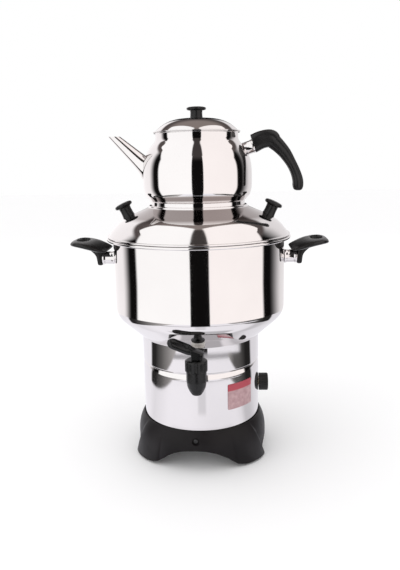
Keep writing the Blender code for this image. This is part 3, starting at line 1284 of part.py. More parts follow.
def make_pot_lid():
    outer = lid_path()
    dome_edge = outer[-1]
    inner = [point for point in offset_path(outer, -LID_SHEET)
             if point.x < LID_SKIRT_RADIUS - LID_SHEET * 2.0]
    brim = filleted([
        (dome_edge.x, dome_edge.y, 0.0, 1),
        (dome_edge.x + LID_BRIM_FILLET, LID_BRIM_TOP, 0.0, 1),
        (LID_BRIM_RADIUS, LID_BRIM_TOP, LID_BRIM_FILLET, 1),
        (LID_BRIM_RADIUS, LID_BRIM_UNDERSIDE, LID_BRIM_FILLET, 1),
        (LID_SKIRT_RADIUS, LID_BRIM_UNDERSIDE, 0.0, 1),
        (LID_SKIRT_RADIUS, LID_BRIM_UNDERSIDE - LID_SKIRT_LENGTH, 0.0, 1),
        (LID_SKIRT_RADIUS - LID_SHEET, LID_BRIM_UNDERSIDE - LID_SKIRT_LENGTH, 0.0, 1),
        (LID_SKIRT_RADIUS - LID_SHEET, lid_dome(LID_SKIRT_RADIUS) - LID_SHEET * 2.0, 0.0, 1),
    ])
    lid = turned("pot_lid", outer + brim[1:] + inner[::-1], "steel", POT_FACETS)
    dome = [Vector((0.0, lid_dome(0.0)))] + [point for point in outer if point.x > COLLAR_RADIUS]
    raised = offset_path(dome, CLEARANCE)
    plug = raised + [Vector((raised[-1].x, LID_BRIM_UNDERSIDE)), Vector((0.0, LID_BRIM_UNDERSIDE))]
    dome_cutter = turned_cutter("dome_cutter", plug, POT_FACETS)
    for side in (-1.0, 1.0):
        tag = "left" if side < 0.0 else "right"
        place = lid_knob_place(side)
        knob = mushroom(f"lid_knob_{tag}", LID_KNOB_CAP, LID_KNOB_NECK, LID_KNOB_HEIGHT, place,
                        LID_SHEET * 2.0)
        combine(knob, dome_cutter)
        drill(lid, f"knob_cutter_{tag}", BIG_SHANK + CLEARANCE, -LID_SHEET * 4.0, OVERRUN, place)
        seat = -LID_SHEET - SHEET_SEAT
        depth = LID_KNOB_HEIGHT * KNOB_BORE_SHARE - CLEARANCE - seat
        screw(f"lid_knob_screw_{tag}", BIG_SHANK, BIG_HEAD, BIG_HEAD_HEIGHT, depth,
              place @ Matrix.Translation((0.0, 0.0, seat)))


def lid_knob_place(side):
    """A frame on the dome whose local Z axis is the dome's normal."""
    step = MERGE_DISTANCE * 100.0
    slope = (lid_dome(LID_KNOB_PLACE + step) - lid_dome(LID_KNOB_PLACE)) / step
    normal = Vector((-slope * side, 0.0, 1.0)).normalized()
    return along(normal, (side * LID_KNOB_PLACE, 0.0, lid_dome(LID_KNOB_PLACE)))


def mushroom(name, cap, neck, height, place, root=0.0):
    """A knob with a waisted neck, a wide cap and a blind hole; root lengthens its foot."""
    bore = BIG_SHANK + CLEARANCE
    levels = [height * share for share in KNOB_HEIGHT_SHARES]
    radii = [neck * share for share in KNOB_NECK_SHARES] + [cap * share for share in KNOB_CAP_SHARES]
    levels[0] = -root
    outline = [(bore, -root)] + list(zip(radii, levels[:-1])) + [(0.0, levels[-1])]
    outline += [(0.0, height * KNOB_BORE_SHARE), (bore, height * KNOB_BORE_SHARE)]
    return turned(name, outline, "bakelite", SMALL_FACETS, place)


def belly_radius(height):
    """Outer radius of the teapot between the bevel and the neck."""
    if height < BELLY_HEIGHT:
        share = (BELLY_HEIGHT - height) / (BELLY_HEIGHT - BEVEL_TOP)
        return BELLY_RADIUS - (BELLY_RADIUS - BEVEL_RADIUS) * share ** BELLY_LOW_POWER
    share = (height - BELLY_HEIGHT) / (NECK_LOW - BELLY_HEIGHT)
    return BELLY_RADIUS - (BELLY_RADIUS - NECK_RADIUS - SHOULDER_EDGE) * share ** BELLY_HIGH_POWER


def teapot_path():
    """Outer face of the teapot from the foot ring up to the neck's rim."""
    points = [(FOOT_RADIUS, TEAPOT_BOTTOM), (FOOT_RADIUS, FOOT_TOP), (BEVEL_RADIUS, BEVEL_TOP)]
    for share in BELLY_LOW_SHARES:
        height = BELLY_HEIGHT - (BELLY_HEIGHT - BEVEL_TOP) * share
        points.append((belly_radius(height), height))
    for share in BELLY_HIGH_SHARES:
        height = BELLY_HEIGHT + (NECK_LOW - BELLY_HEIGHT) * share
        points.append((belly_radius(height), height))
    points += [(NECK_RADIUS, NECK_LOW), (NECK_RADIUS, NECK_RIM - POT_SHEET),
               (NECK_RADIUS + NECK_FLANGE, NECK_RIM - POT_SHEET)]
    return [Vector(point) for point in points]


def teapot_cutter(name):
    """A solid a clearance larger than the teapot, that trims what is fixed to its wall."""
    raised = offset_path(teapot_path(), -CLEARANCE)
    solid = [Vector((0.0, TEAPOT_BOTTOM))] + raised + [Vector((0.0, NECK_RIM))]
    return turned_cutter(name, solid, TEAPOT_FACETS)


def arm_place():
    """A frame at the root of the teapot handle, with local Z along its screw."""
    direction = (math.cos(ARM_TILT), 0.0, math.sin(ARM_TILT))
    return along(direction, (belly_radius(ARM_HEIGHT), 0.0, ARM_HEIGHT))


def make_teapot_body():
    outer = teapot_path()
    inner = offset_path(outer, POT_SHEET)
    bottom = TEAPOT_BOTTOM + FOOT_RING_DEPTH
    belly = len(BELLY_LOW_SHARES) + len(BELLY_HIGH_SHARES) + 3
    # the unseen inner face skips every other ring of the belly
    inner = inner[:3] + inner[3:belly:2] + inner[belly:]
    outline = [
        Vector((0.0, bottom)), Vector((FOOT_RADIUS - FOOT_RING_WIDTH, bottom)),
        Vector((FOOT_RADIUS - FOOT_RING_WIDTH + FOOT_RING_DEPTH, TEAPOT_BOTTOM)),
    ] + outer + inner[:0:-1] + [
        Vector((FOOT_RADIUS - POT_SHEET, bottom + POT_SHEET)), Vector((0.0, bottom + POT_SHEET)),
    ]
    body = turned("teapot_body", outline, "steel", TEAPOT_FACETS)
    direction = SPOUT_TIP - SPOUT_ROOT
    through = along(direction, SPOUT_ROOT)
    centres = [Vector((0.0, 0.0, 0.0))]
    for index in range(STRAINER_RING):
        turn = math.tau * index / STRAINER_RING
        centres.append(Vector((math.cos(turn), math.sin(turn), 0.0)) * STRAINER_PITCH)
    for index, centre in enumerate(centres):
        drill(body, f"strainer_cutter_{index}", STRAINER_HOLE, -OVERRUN * 2.0,
              SPOUT_ROOT_RADIUS * 2.0, through @ Matrix.Translation(centre))
    drill(body, "arm_cutter", BIG_SHANK + CLEARANCE, -ARM_FERRULE_END, ARM_FERRULE_END, arm_place())
    return body


def make_spout():
    direction = SPOUT_TIP - SPOUT_ROOT
    length = direction.length
    place = along(direction, SPOUT_ROOT)
    outline = [
        (SPOUT_ROOT_RADIUS - SPOUT_SHEET, 0.0), (SPOUT_ROOT_RADIUS, 0.0),
        (SPOUT_TIP_RADIUS, length), (SPOUT_TIP_RADIUS - SPOUT_SHEET, length),
    ]
    spout = turned("teapot_spout", outline, "steel", SMALL_FACETS, place)
    combine(spout, teapot_cutter("spout_root_cutter"))
    far = SPOUT_TIP.x * 2.0
    wide = SPOUT_ROOT_RADIUS * 2.0
    combine(spout, cutter(box_shape((far, -wide, SPOUT_CUT), (0.0, wide, SPOUT_CUT + wide)),
                          "spout_tip_cutter"))


def make_teapot_handle():
    place = arm_place()
    ferrule = turned("teapot_ferrule", ring_outline(ARM_FERRULE_RADIUS - FERRULE_WALL,
                                                    ARM_FERRULE_RADIUS, -SPOUT_ROOT_RADIUS,
                                                    ARM_FERRULE_END), "steel", SMALL_FACETS, place)
    combine(ferrule, teapot_cutter("ferrule_root_cutter"))
    grip_start = place @ Vector((0.0, 0.0, ARM_FERRULE_END + CLEARANCE))
    across = Vector((0.0, 1.0, 0.0))
    axis = (place @ AXIS - place.translation).normalized()
    places = [grip_start + axis.cross(across) * GRIP_OFFSET]
    for reach, rise in zip(GRIP_PLACE_SHARES, GRIP_RISE_SHARES):
        places.append(places[0] + Vector((GRIP_REACH * reach, 0.0, GRIP_DROP * rise)))
    sections = []
    for index, centre in enumerate(places):
        before = places[max(index - 1, 0)]
        after = places[min(index + 1, len(places) - 1)]
        run = axis if index == 0 else (after - before).normalized()
        upward = across.cross(run).normalized()
        sections.append(rounded_section(centre, across, upward,
                                        GRIP_WIDTH / 2.0 * GRIP_WIDTH_SHARES[index],
                                        GRIP_THICKNESS / 2.0 * GRIP_THICKNESS_SHARES[index],
                                        GRIP_SECTION_POWER, GRIP_SECTION_POINTS))
    handle = placed(lofted_shape(sections), "teapot_handle", "bakelite")
    tip = ARM_FERRULE_END + ARM_SCREW_DEPTH
    drill(handle, "handle_screw_cutter", BIG_SHANK + CLEARANCE, ARM_FERRULE_END - OVERRUN,
          tip + CLEARANCE, place)
    seat = -POT_SHEET - ARM_SCREW_SINK
    screw("teapot_handle_screw", BIG_SHANK, BIG_HEAD, BIG_HEAD_HEIGHT, tip - seat,
          place @ Matrix.Translation((0.0, 0.0, seat)))


def cap_dome(radius):
    """Height of the outer face of the teapot lid at a radius."""
    return CAP_DOME_FOOT + CAP_DOME_RISE * (1.0 - (radius / CAP_DOME_RADIUS) ** CAP_DOME_POWER)


def make_teapot_lid():
    outer = [Vector((0.0, cap_dome(0.0)))]
    for share in CAP_DOME_SHARES:
        radius = CAP_DOME_RADIUS * share
        outer.append(Vector((radius, cap_dome(radius))))
    outer.append(Vector((CAP_DOME_RADIUS, CAP_DOME_FOOT)))
    inner = [point for point in offset_path(outer, -POT_SHEET)
             if point.x < CAP_SKIRT_RADIUS - POT_SHEET * 2.0]
    rim = [
        Vector((CAP_RIM_RADIUS, CAP_DOME_FOOT)), Vector((CAP_RIM_RADIUS, CAP_RIM_UNDERSIDE)),
        Vector((CAP_SKIRT_RADIUS, CAP_RIM_UNDERSIDE)),
        Vector((CAP_SKIRT_RADIUS, CAP_RIM_UNDERSIDE - CAP_SKIRT_LENGTH)),
        Vector((CAP_SKIRT_RADIUS - POT_SHEET, CAP_RIM_UNDERSIDE - CAP_SKIRT_LENGTH)),
        Vector((CAP_SKIRT_RADIUS - POT_SHEET, CAP_RIM_UNDERSIDE)),
    ]
    lid = turned("teapot_lid", outer + rim + inner[::-1], "steel", TEAPOT_FACETS)
    place = Matrix.Translation((0.0, 0.0, cap_dome(0.0) + CLEARANCE))
    mushroom("teapot_lid_knob", CAP_KNOB_CAP, CAP_KNOB_NECK, CAP_KNOB_HEIGHT, place)
    drill(lid, "cap_screw_cutter", BIG_SHANK + CLEARANCE, -OVERRUN, OVERRUN, place)
    seat = -CLEARANCE * 2.0 - POT_SHEET
    depth = CAP_KNOB_HEIGHT * KNOB_BORE_SHARE - CLEARANCE - seat
    screw("teapot_lid_knob_screw", BIG_SHANK, BIG_HEAD, BIG_HEAD_HEIGHT, depth,
          place @ Matrix.Translation((0.0, 0.0, seat)))


def main():
    clear_scene()
    make_base_group()
    make_casing()
    make_label()
    make_gland()
    make_thermostat()
    make_terminals()
    make_tank()
    make_element()
    make_element_fittings()
    make_tap_body()
    make_tap_fittings()
    make_bonnet()
    make_stem()
    make_lever()
    make_side_handle(-1.0)
    make_side_handle(1.0)
    make_pot_lid()
    make_teapot_body()
    make_spout()
    make_teapot_handle()
    make_teapot_lid()


main()
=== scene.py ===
"""The looks of an electric samovar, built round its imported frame.

Lengths are in metres and +Z is up. The pot's axis is x = y = 0 and the tap faces -Y.
An outline is a row of corners (radius, height, fillet) about its own axis, and a sharp corner has no fillet.
"""
import json
from math import ceil, copysign, cos, exp, hypot, pi, radians, sin, sqrt, tan, tau

import bmesh
import bpy
from mathutils import Matrix, Vector


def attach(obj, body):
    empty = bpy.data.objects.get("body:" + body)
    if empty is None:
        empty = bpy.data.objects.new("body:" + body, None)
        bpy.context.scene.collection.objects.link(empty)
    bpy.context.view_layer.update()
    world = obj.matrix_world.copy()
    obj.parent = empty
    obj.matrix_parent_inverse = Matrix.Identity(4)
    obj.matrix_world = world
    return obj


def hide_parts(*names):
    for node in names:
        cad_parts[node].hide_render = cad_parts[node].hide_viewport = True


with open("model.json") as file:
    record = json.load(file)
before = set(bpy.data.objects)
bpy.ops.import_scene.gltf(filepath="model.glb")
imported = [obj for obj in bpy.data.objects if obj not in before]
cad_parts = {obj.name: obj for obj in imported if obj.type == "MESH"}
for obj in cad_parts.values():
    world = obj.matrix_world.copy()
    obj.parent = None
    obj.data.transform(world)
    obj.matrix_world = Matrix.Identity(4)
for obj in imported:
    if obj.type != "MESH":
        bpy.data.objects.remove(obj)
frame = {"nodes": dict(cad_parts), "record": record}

moved = Matrix.Translation

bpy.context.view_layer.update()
TINY = 1e-6
CLEARANCE = 0.0003
ARC_STEP = radians(11.0)
SMOOTH_ANGLE = radians(40.0)
AXIS = Vector((0.0, 0.0, 1.0))
ACROSS = Vector((0.0, 1.0, 0.0))
SIDES = ((-1.0, "left"), (1.0, "right"))

# Faces round a turned shape
FLUTED = 240
FINE = 224
MEDIUM = 96
SMALL = 64
SMALLER = 48
SMALLEST = 40
# Rows along a loft, and points round each of its sections
LOFT_ROWS = 40
LOFT_POINTS = 56


def outward(turn):
    """The level direction at an angle from the front, towards the right."""
    return Vector((sin(turn), -cos(turn), 0.0))


def mm(*rows):
    """Rows of millimetres as metres."""
    return [tuple(value * 0.001 for value in row) for row in rows]


def put(thing, **settings):
    """Set a thing's properties and return it."""
    for key, value in settings.items():
        setattr(thing, key, value)
    return thing


def linked(name, data):
    """A new object in the scene."""
    made = bpy.data.objects.new(name, data)
    bpy.context.scene.collection.objects.link(made)
    return made


# Camera, at the photograph's place
CAMERA_TURN = radians(3.0)
CAMERA_PITCH = radians(12.0)
CAMERA_ROLL = radians(1.11)
CAMERA_HEIGHT = 0.4205
CAMERA_REACH = 0.8298
CAMERA_ASIDE = 0.0005
CLIP_START = 0.01
SENSOR = 36.0
FOCAL_PIXELS = 589.4
FRAME_HEIGHT = 570.0


def make_camera():
    camera = linked("camera", bpy.data.cameras.new("camera"))
    put(camera.data, sensor_fit="VERTICAL", sensor_height=SENSOR, lens=FOCAL_PIXELS / FRAME_HEIGHT * SENSOR,
        clip_start=CLIP_START)
    right = outward(CAMERA_TURN + pi / 2.0)
    place = outward(CAMERA_TURN) * CAMERA_REACH + AXIS * CAMERA_HEIGHT + right * CAMERA_ASIDE
    camera.matrix_world = (moved(place) @ Matrix.Rotation(CAMERA_TURN, 4, "Z")
                           @ Matrix.Rotation(pi / 2.0 - CAMERA_PITCH, 4, "X")
                           @ Matrix.Rotation(-CAMERA_ROLL, 4, "Z"))
    bpy.context.scene.camera = camera


# Node materials. A noise is (scale, detail, stretch, roughness) and a bump is (noise, strength, distance).

EVEN = (1.0, 1.0, 1.0)
SHINE = 0.5
MOTTLE = (0.35, 0.7)
SMEARS = (0.3, 0.7)


class Finish:
    """A node material under construction, in object coordinates."""

    def __init__(self, name, colour, roughness, metallic=0.0, specular=SHINE):
        self.made = bpy.data.materials.new(name)
        self.made.use_nodes = True
        self.tree = self.made.node_tree
        self.shader = self.tree.nodes["Principled BSDF"].inputs
        for key, value in (("Base Color", colour), ("Roughness", roughness), ("Metallic", metallic),
                           ("Specular IOR Level", specular)):
            self.feed(self.shader[key], value)
        self.coords = self.tree.nodes.new("ShaderNodeTexCoord").outputs["Object"]

    def feed(self, socket, value):
        """Link a socket to another one, or set its own value."""
        if isinstance(value, bpy.types.NodeSocket):
            self.tree.links.new(value, socket)
        else:
            socket.default_value = (*value, 1.0) if socket.type == "RGBA" else value

    def node(self, kind, output, feeds, **settings):
        """Add a node, feed its inputs and return one of its outputs."""
        made = put(self.tree.nodes.new("ShaderNode" + kind), **settings)
        for key, value in feeds.items():
            self.feed(made.inputs[key], value)
        return made.outputs[output]

    def noise(self, scale, detail=3.0, stretch=EVEN, roughness=0.5):
        place = self.node("Mapping", "Vector", {"Vector": self.coords, "Scale": stretch})
        return self.node("TexNoise", "Fac", {"Vector": place, "Scale": scale, "Detail": detail,
                                             "Roughness": roughness})

    def ramp(self, source, low, high, first=0.0, last=1.0):
        """Map a value between low and high onto first and last, and stop there."""
        return self.node("MapRange", "Result", {"Value": source, "From Min": low, "From Max": high,
                                                "To Min": first, "To Max": last})

    def mix(self, share, first, last):
        return self.node("Mix", 2, {0: share, 6: first, 7: last}, data_type="RGBA")

    def tint(self, share, first, last):
        """The base colour runs from first to last with the share."""
        self.feed(self.shader["Base Color"], self.mix(share, first, last))

    def paint_shade_ring(self, inner, outer, colour):
        """Paint shade into the base colour in a ring round the axis; inner and outer give its soft edges."""
        flat = self.node("VectorMath", "Vector", {0: self.coords, 1: (1.0, 1.0, 0.0)}, operation="MULTIPLY")
        reach = self.node("VectorMath", "Value", {0: flat}, operation="LENGTH")
        share = self.node("Math", 0, {0: self.ramp(reach, *inner), 1: self.ramp(reach, *outer, 1.0, 0.0)},
                          operation="MULTIPLY")
        self.tint(share, self.shader["Base Color"].links[0].from_socket, colour)

    def rough(self, source, span, first, last):
        """The roughness runs from first to last while the source crosses the span."""
        self.feed(self.shader["Roughness"], self.ramp(source, *span, first, last))

    def bump(self, noise, strength, distance):
        """Raise the surface with a noise, on top of the bumps before."""
        feeds = {"Height": self.noise(*noise), "Strength": strength, "Distance": distance}
        if self.shader["Normal"].is_linked:
            feeds["Normal"] = self.shader["Normal"].links[0].from_socket
        self.feed(self.shader["Normal"], self.node("Bump", "Normal", feeds))


STEEL = (0.80, 0.775, 0.77)
STEEL_SHADE = (0.74, 0.715, 0.71)
STEEL_CLOUDS = (7.0, 4.0)
STEEL_SMEARS = (16.0, 6.0, (1.0, 1.0, 0.35), 0.6)
STEEL_SMEARS_SPAN = (0.35, 0.75)
STEEL_LINES = ((1.0, 2.0, (14.0, 14.0, 1500.0)), 0.012, 0.0004)
STEEL_WAVES = (5.0, 1.0, (1.0, 1.0, 0.6))
STEEL_WAVES_DISTANCE = 0.004
# Painted reflection: a brown ring painted into the lid steel's colour round the teapot's collar, in place of
# a dark reflection of the room
LID_PAINTED_REFLECTION = (0.30, 0.262, 0.255)
LID_PAINTED_REFLECTION_INNER = (0.0690, 0.0702)
LID_PAINTED_REFLECTION_OUTER = (0.0950, 0.1040)


def polished_steel(name, roughness, wave, painted_reflection=False):
    """Mirror steel: polishing lines round the axis, faint smears and the sheet's slight waves.

    A painted reflection darkens the pot lid's base colour to brown in a ring round the teapot's collar, in
    place of the room's dark reflection there.
    """
    made = Finish(name, STEEL, roughness, 1.0)
    made.tint(made.ramp(made.noise(*STEEL_CLOUDS), *SMEARS), STEEL, STEEL_SHADE)
    if painted_reflection:
        # painted reflection on the lid: a brown ring round the teapot's collar
        made.paint_shade_ring(LID_PAINTED_REFLECTION_INNER, LID_PAINTED_REFLECTION_OUTER, LID_PAINTED_REFLECTION)
    made.rough(made.noise(*STEEL_SMEARS), STEEL_SMEARS_SPAN, roughness * 0.75, roughness * 1.5)
    made.bump(*STEEL_LINES)
    made.bump(STEEL_WAVES, wave, STEEL_WAVES_DISTANCE)
    return made.made


TOOLED = (120.0, 4.0)
TARNISH = (60.0, 5.0)
TOOL_MARKS = (0.08, 0.0002)
TOOL_PITCH = 900.0


def turned_metal(name, colour, shade, roughness, pitch=TOOL_PITCH):
    """Small machined or plated metal with tool marks."""
    made = Finish(name, colour, roughness, 1.0)
    made.tint(made.noise(*TOOLED), colour, shade)
    made.rough(made.noise(*TARNISH), SMEARS, roughness * 0.8, roughness * 1.3)
    made.bump((1.0, 1.0, (pitch / 8.0, pitch / 8.0, pitch)), *TOOL_MARKS)
    return made.made


BAKELITE_SHINE = 0.36
RUBBED = (38.0, 6.0, EVEN, 0.62)
RUBBED_TINT_SPAN = (0.52, 0.74)
RUBBED_ROUGH_SPAN = (0.3, 0.75)
ORANGE_PEEL = ((420.0, 3.0), 0.09, 0.0005)
UNEVENNESS = ((60.0, 2.0), 0.05, 0.001)


def bakelite(name, colour, worn, roughness):
    """Pressed black resin: satin skin with orange peel, and greyer rubbed patches."""
    made = Finish(name, colour, roughness, specular=BAKELITE_SHINE)
    rubbed = made.noise(*RUBBED)
    made.tint(made.ramp(rubbed, *RUBBED_TINT_SPAN), colour, worn)
    made.rough(rubbed, RUBBED_ROUGH_SPAN, roughness * 0.85, roughness * 1.35)
    made.bump(*ORANGE_PEEL)
    made.bump(*UNEVENNESS)
    return made.made


CLOUDS = (24.0, 5.0)
SCUFFS = (90.0, 3.0)
GRAIN_DISTANCE = 0.0005


def moulded(name, colour, shade, roughness, grain, depth, specular=SHINE):
    """Plain moulded plastic, rubber, silicone or ceramic with its surface grain."""
    made = Finish(name, colour, roughness, specular=specular)
    made.tint(made.ramp(made.noise(*CLOUDS), *MOTTLE), colour, shade)
    made.rough(made.noise(*SCUFFS), SMEARS, roughness * 0.9, min(1.0, roughness * 1.15))
    made.bump((grain, 2.0), depth, GRAIN_DISTANCE)
    return made.made


LABEL_WIDTH = 0.044
LABEL_HEIGHT = 0.0365
LABEL_LOW = 0.0845
LABEL_TURN = radians(43.0)
LABEL_HEADER_SHARE = 0.27
LABEL_LINE_SOFT = 0.0004
LABEL_RED = (0.42, 0.050, 0.075)
LABEL_PINK = (0.40, 0.235, 0.250)
LABEL_PALE = (0.52, 0.340, 0.355)
LABEL_MOTTLE = (170.0, 4.0)
LABEL_MOTTLE_SPAN = (0.35, 0.65)
LABEL_SCUFFS = (50.0, 4.0)
LABEL_ROUGHNESS = (0.28, 0.45)
LABEL_GRAIN = ((260.0, 2.0), 0.05, 0.0003)


def label_film():
    """A bare film: a red strip above a pale red field, mottled by age, with no print."""
    made = Finish("label_film", LABEL_PINK, LABEL_ROUGHNESS[0])
    height = made.node("SeparateXYZ", "Z", {"Vector": made.coords})
    line = LABEL_LOW + LABEL_HEIGHT * (1.0 - LABEL_HEADER_SHARE)
    header = made.ramp(height, line - LABEL_LINE_SOFT, line + LABEL_LINE_SOFT)
    mottle = made.ramp(made.noise(*LABEL_MOTTLE), *LABEL_MOTTLE_SPAN)
    made.tint(header, made.mix(mottle, LABEL_PINK, LABEL_PALE), LABEL_RED)
    made.rough(made.noise(*LABEL_SCUFFS), SMEARS, *LABEL_ROUGHNESS)
    made.bump(*LABEL_GRAIN)
    return made.made


# The finish of each material slot, and one for the skirt's dark screws
FINISHES = {
    "tank_steel": polished_steel("polished_tank_steel", 0.045, 0.03),
    "casing_steel": polished_steel("polished_casing_steel", 0.055, 0.03),
    # the lid's steel carries a painted reflection: a brown ring round the teapot's collar
    "pot_lid_steel": polished_steel("polished_lid_steel", 0.06, 0.035, painted_reflection=True),
    "teapot_steel": polished_steel("polished_teapot_steel", 0.045, 0.03),
    "trim_steel": polished_steel("polished_trim_steel", 0.08, 0.02),
    "bakelite": bakelite("satin_bakelite", (0.0045, 0.0042, 0.0045), (0.012, 0.0115, 0.0115), 0.30),
    "tap_bakelite": bakelite("tap_bakelite", (0.0035, 0.0035, 0.0035), (0.010, 0.0095, 0.0095), 0.25),
    "base_plastic": moulded("base_plastic", (0.0050, 0.0038, 0.0042), (0.009, 0.0070, 0.0080), 0.42, 650.0,
                            0.10, 0.20),
    "rubber": moulded("foot_rubber", (0.020, 0.020, 0.020), (0.032, 0.031, 0.030), 0.85, 900.0, 0.3, 0.3),
    "silicone": moulded("white_silicone", (0.78, 0.78, 0.75), (0.70, 0.69, 0.65), 0.5, 300.0, 0.05),
    "ceramic": moulded("insulator", (0.82, 0.80, 0.74), (0.74, 0.71, 0.64), 0.6, 500.0, 0.12),
    "lead_sleeve": moulded("lead_sleeve", (0.16, 0.06, 0.03), (0.12, 0.045, 0.025), 0.5, 700.0, 0.2),
    "zinc": turned_metal("zinc_plate", (0.66, 0.66, 0.64), (0.56, 0.57, 0.58), 0.28),
    "brass": turned_metal("brass", (0.74, 0.56, 0.29), (0.62, 0.45, 0.22), 0.26),
    "element_steel": turned_metal("element_steel", (0.58, 0.55, 0.52), (0.42, 0.38, 0.36), 0.34, 300.0),
    "screw": turned_metal("dark_screw", (0.10, 0.10, 0.10), (0.05, 0.05, 0.05), 0.42),
    "label_field": label_film(),
}


# Shapes

def rounded(corners):
    """The points (radius, height) of an open outline with its fillets."""
    points = []
    last = len(corners) - 1
    for index, (r, z, *fillet) in enumerate(corners):
        here = Vector((r, z))
        if not fillet or index in (0, last):
            points.append(here)
            continue
        back = (Vector(corners[index - 1][:2]) - here).normalized()
        ahead = (Vector(corners[index + 1][:2]) - here).normalized()
        half = back.angle(ahead) / 2.0
        centre = here + (back + ahead).normalized() * (fillet[0] / sin(half))
        reach = fillet[0] / tan(half)
        start = here + back * reach - centre
        sweep = start.angle_signed(here + ahead * reach - centre)
        steps = max(2, ceil(abs(sweep) / ARC_STEP))
        for step in range(steps + 1):
            points.append(centre + Matrix.Rotation(-sweep * step / steps, 2) @ start)
    return points


def offset_path(points, distance):
    """Shift an open path to its left."""
    shifted = []
    for index, here in enumerate(points):
        run = points[min(index + 1, len(points) - 1)] - points[max(index - 1, 0)]
        shifted.append(here + Vector((-run.y, run.x)).normalized() * distance)
    return shifted


def walled(outer, wall):
    """The points of a sheet's other side, in the order that closes the outline."""
    inner = offset_path(outer, wall)
    if outer[0].x < TINY:
        inner[0].x = 0.0
    return inner[::-1]


def smooth(mesh):
    mesh.shade_smooth()
    mesh.set_sharp_from_angle(angle=SMOOTH_ANGLE)


def object_of(shape, name):
    """Link a bmesh as a smooth object."""
    bmesh.ops.remove_doubles(shape, verts=shape.verts, dist=TINY)
    bmesh.ops.recalc_face_normals(shape, faces=shape.faces)
    mesh = bpy.data.meshes.new(name)
    shape.to_mesh(mesh)
    shape.free()
    smooth(mesh)
    return linked(name, mesh)


def skin(shape, rings):
    """Close the space between each ring of points and the next; one point alone is a pole."""
    for near, far in zip(rings, rings[1:]):
        count = max(len(near), len(far))
        for index in range(count if count > 1 else 0):
            after = (index + 1) % count
            corners = [near[index % len(near)], near[after % len(near)],
                       far[after % len(far)], far[index % len(far)]]
            shape.faces.new(list(dict.fromkeys(corners)))


def turned_shape(outline, segments=FINE, place=None, radius_of=None):
    """Spin closed points (r, z) about local Z; radius_of(r, z, turn) may vary the radius."""
    shape = bmesh.new()
    rings = []
    for r, z in outline:
        ring = []
        for index in range(segments if r >= TINY else 1):
            turn = tau * index / segments
            radius = radius_of(r, z, turn) if radius_of else r
            ring.append(shape.verts.new((radius * cos(turn), radius * sin(turn), z)))
        rings.append(ring)
    skin(shape, rings + rings[:1])
    if place is not None:
        shape.transform(place)
    return shape


def turned(name, *shape):
    return object_of(turned_shape(*shape), name)


def block_shape(size, place):
    shape = bmesh.new()
    bmesh.ops.create_cube(shape, size=1.0)
    bmesh.ops.scale(shape, vec=size, verts=shape.verts)
    shape.transform(place)
    return shape


def along(direction, origin):
    """A frame at the origin whose local Z points along the direction."""
    return moved(origin) @ Vector(direction).to_track_quat("Z", "Y").to_matrix().to_4x4()


def section(centre, across, upward, half_width, half_height, power, count=LOFT_POINTS):
    """A superellipse in the plane of across and upward."""
    points = []
    for index in range(count):
        angle = tau * (index + 0.5) / count
        c, s = cos(angle), sin(angle)
        u = copysign(abs(c) ** (2.0 / power), c) * half_width
        v = copysign(abs(s) ** (2.0 / power), s) * half_height
        points.append(centre + across * u + upward * v)
    return points


def lofted_shape(sections):
    shape = bmesh.new()
    rings = [[shape.verts.new(point) for point in points] for points in sections]
    skin(shape, rings)
    shape.faces.new(rings[0][::-1])
    shape.faces.new(rings[-1])
    return shape


def shares(count):
    """The shares from 0 to 1 in equal steps."""
    return [index / count for index in range(count + 1)]


def between(values, t):
    """A smooth value at t from 0 to 1 along a row of numbers or vectors."""
    place = t * (len(values) - 1)
    index = min(int(place), len(values) - 2)
    f = place - index
    a = values[max(index - 1, 0)]
    b = values[index]
    c = values[index + 1]
    d = values[min(index + 2, len(values) - 1)]
    return (b * 2.0 + (c - a) * f + (a * 2.0 - b * 5.0 + c * 4.0 - d) * f ** 2
            + (b * 3.0 - a - c * 3.0 + d) * f ** 3) * 0.5


def share_of(value, low, high):
    """How far the value has come from low to high, from 0 to 1."""
    return min(max((value - low) / (high - low), 0.0), 1.0)


def ease(value, low, high):
    t = share_of(value, low, high)
    return t * t * (3.0 - 2.0 * t)


def apply_modifiers(piece):
    """Put the piece's modifiers into its mesh."""
    graph = bpy.context.evaluated_depsgraph_get()
    mesh = bpy.data.meshes.new_from_object(piece.evaluated_get(graph))
    piece.modifiers.clear()
    piece.data = mesh
    smooth(mesh)


def combine(piece, shape, operation="DIFFERENCE"):
    """Join a shape to the piece, or cut it out."""
    tool = object_of(shape, "tool")
    put(piece.modifiers.new("shape", "BOOLEAN"), operation=operation, solver="EXACT", object=tool)
    apply_modifiers(piece)
    bpy.data.objects.remove(tool)


def melt(piece, voxel, rounds):
    """Remesh a piece finely and smooth its edges into moulded fillets."""
    put(piece.modifiers.new("voxels", "REMESH"), mode="VOXEL", voxel_size=voxel, use_smooth_shade=True)
    put(piece.modifiers.new("soften", "SMOOTH"), factor=0.5, iterations=rounds)
    apply_modifiers(piece)


def settle(piece, body, slot, node, finish=None):
    """Give the piece its finish, stand it for its node and let it move with its body."""
    piece.data.materials.append(FINISHES[finish or slot])
    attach(piece, body)
    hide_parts(node)


# Base with four feet

BASE_HEIGHT = 0.058
BASE_TOP_RADIUS = 0.0862
BASE_SKIRT_RADIUS = 0.0940
BASE_SKIRT_DROP = 0.032
BASE_SKIRT_POWER = 2.5
BASE_WALL = 0.003
BASE_EDGE = 0.0008
BASE_LIP = 0.0002
TOE_SWELL = 0.0066
FOOT_TURN_TOP = radians(43.0)
FOOT_TURN_SOLE = radians(54.5)
FOOT_HALF_TOP = radians(11.0)
FOOT_HALF_SOLE = radians(16.5)
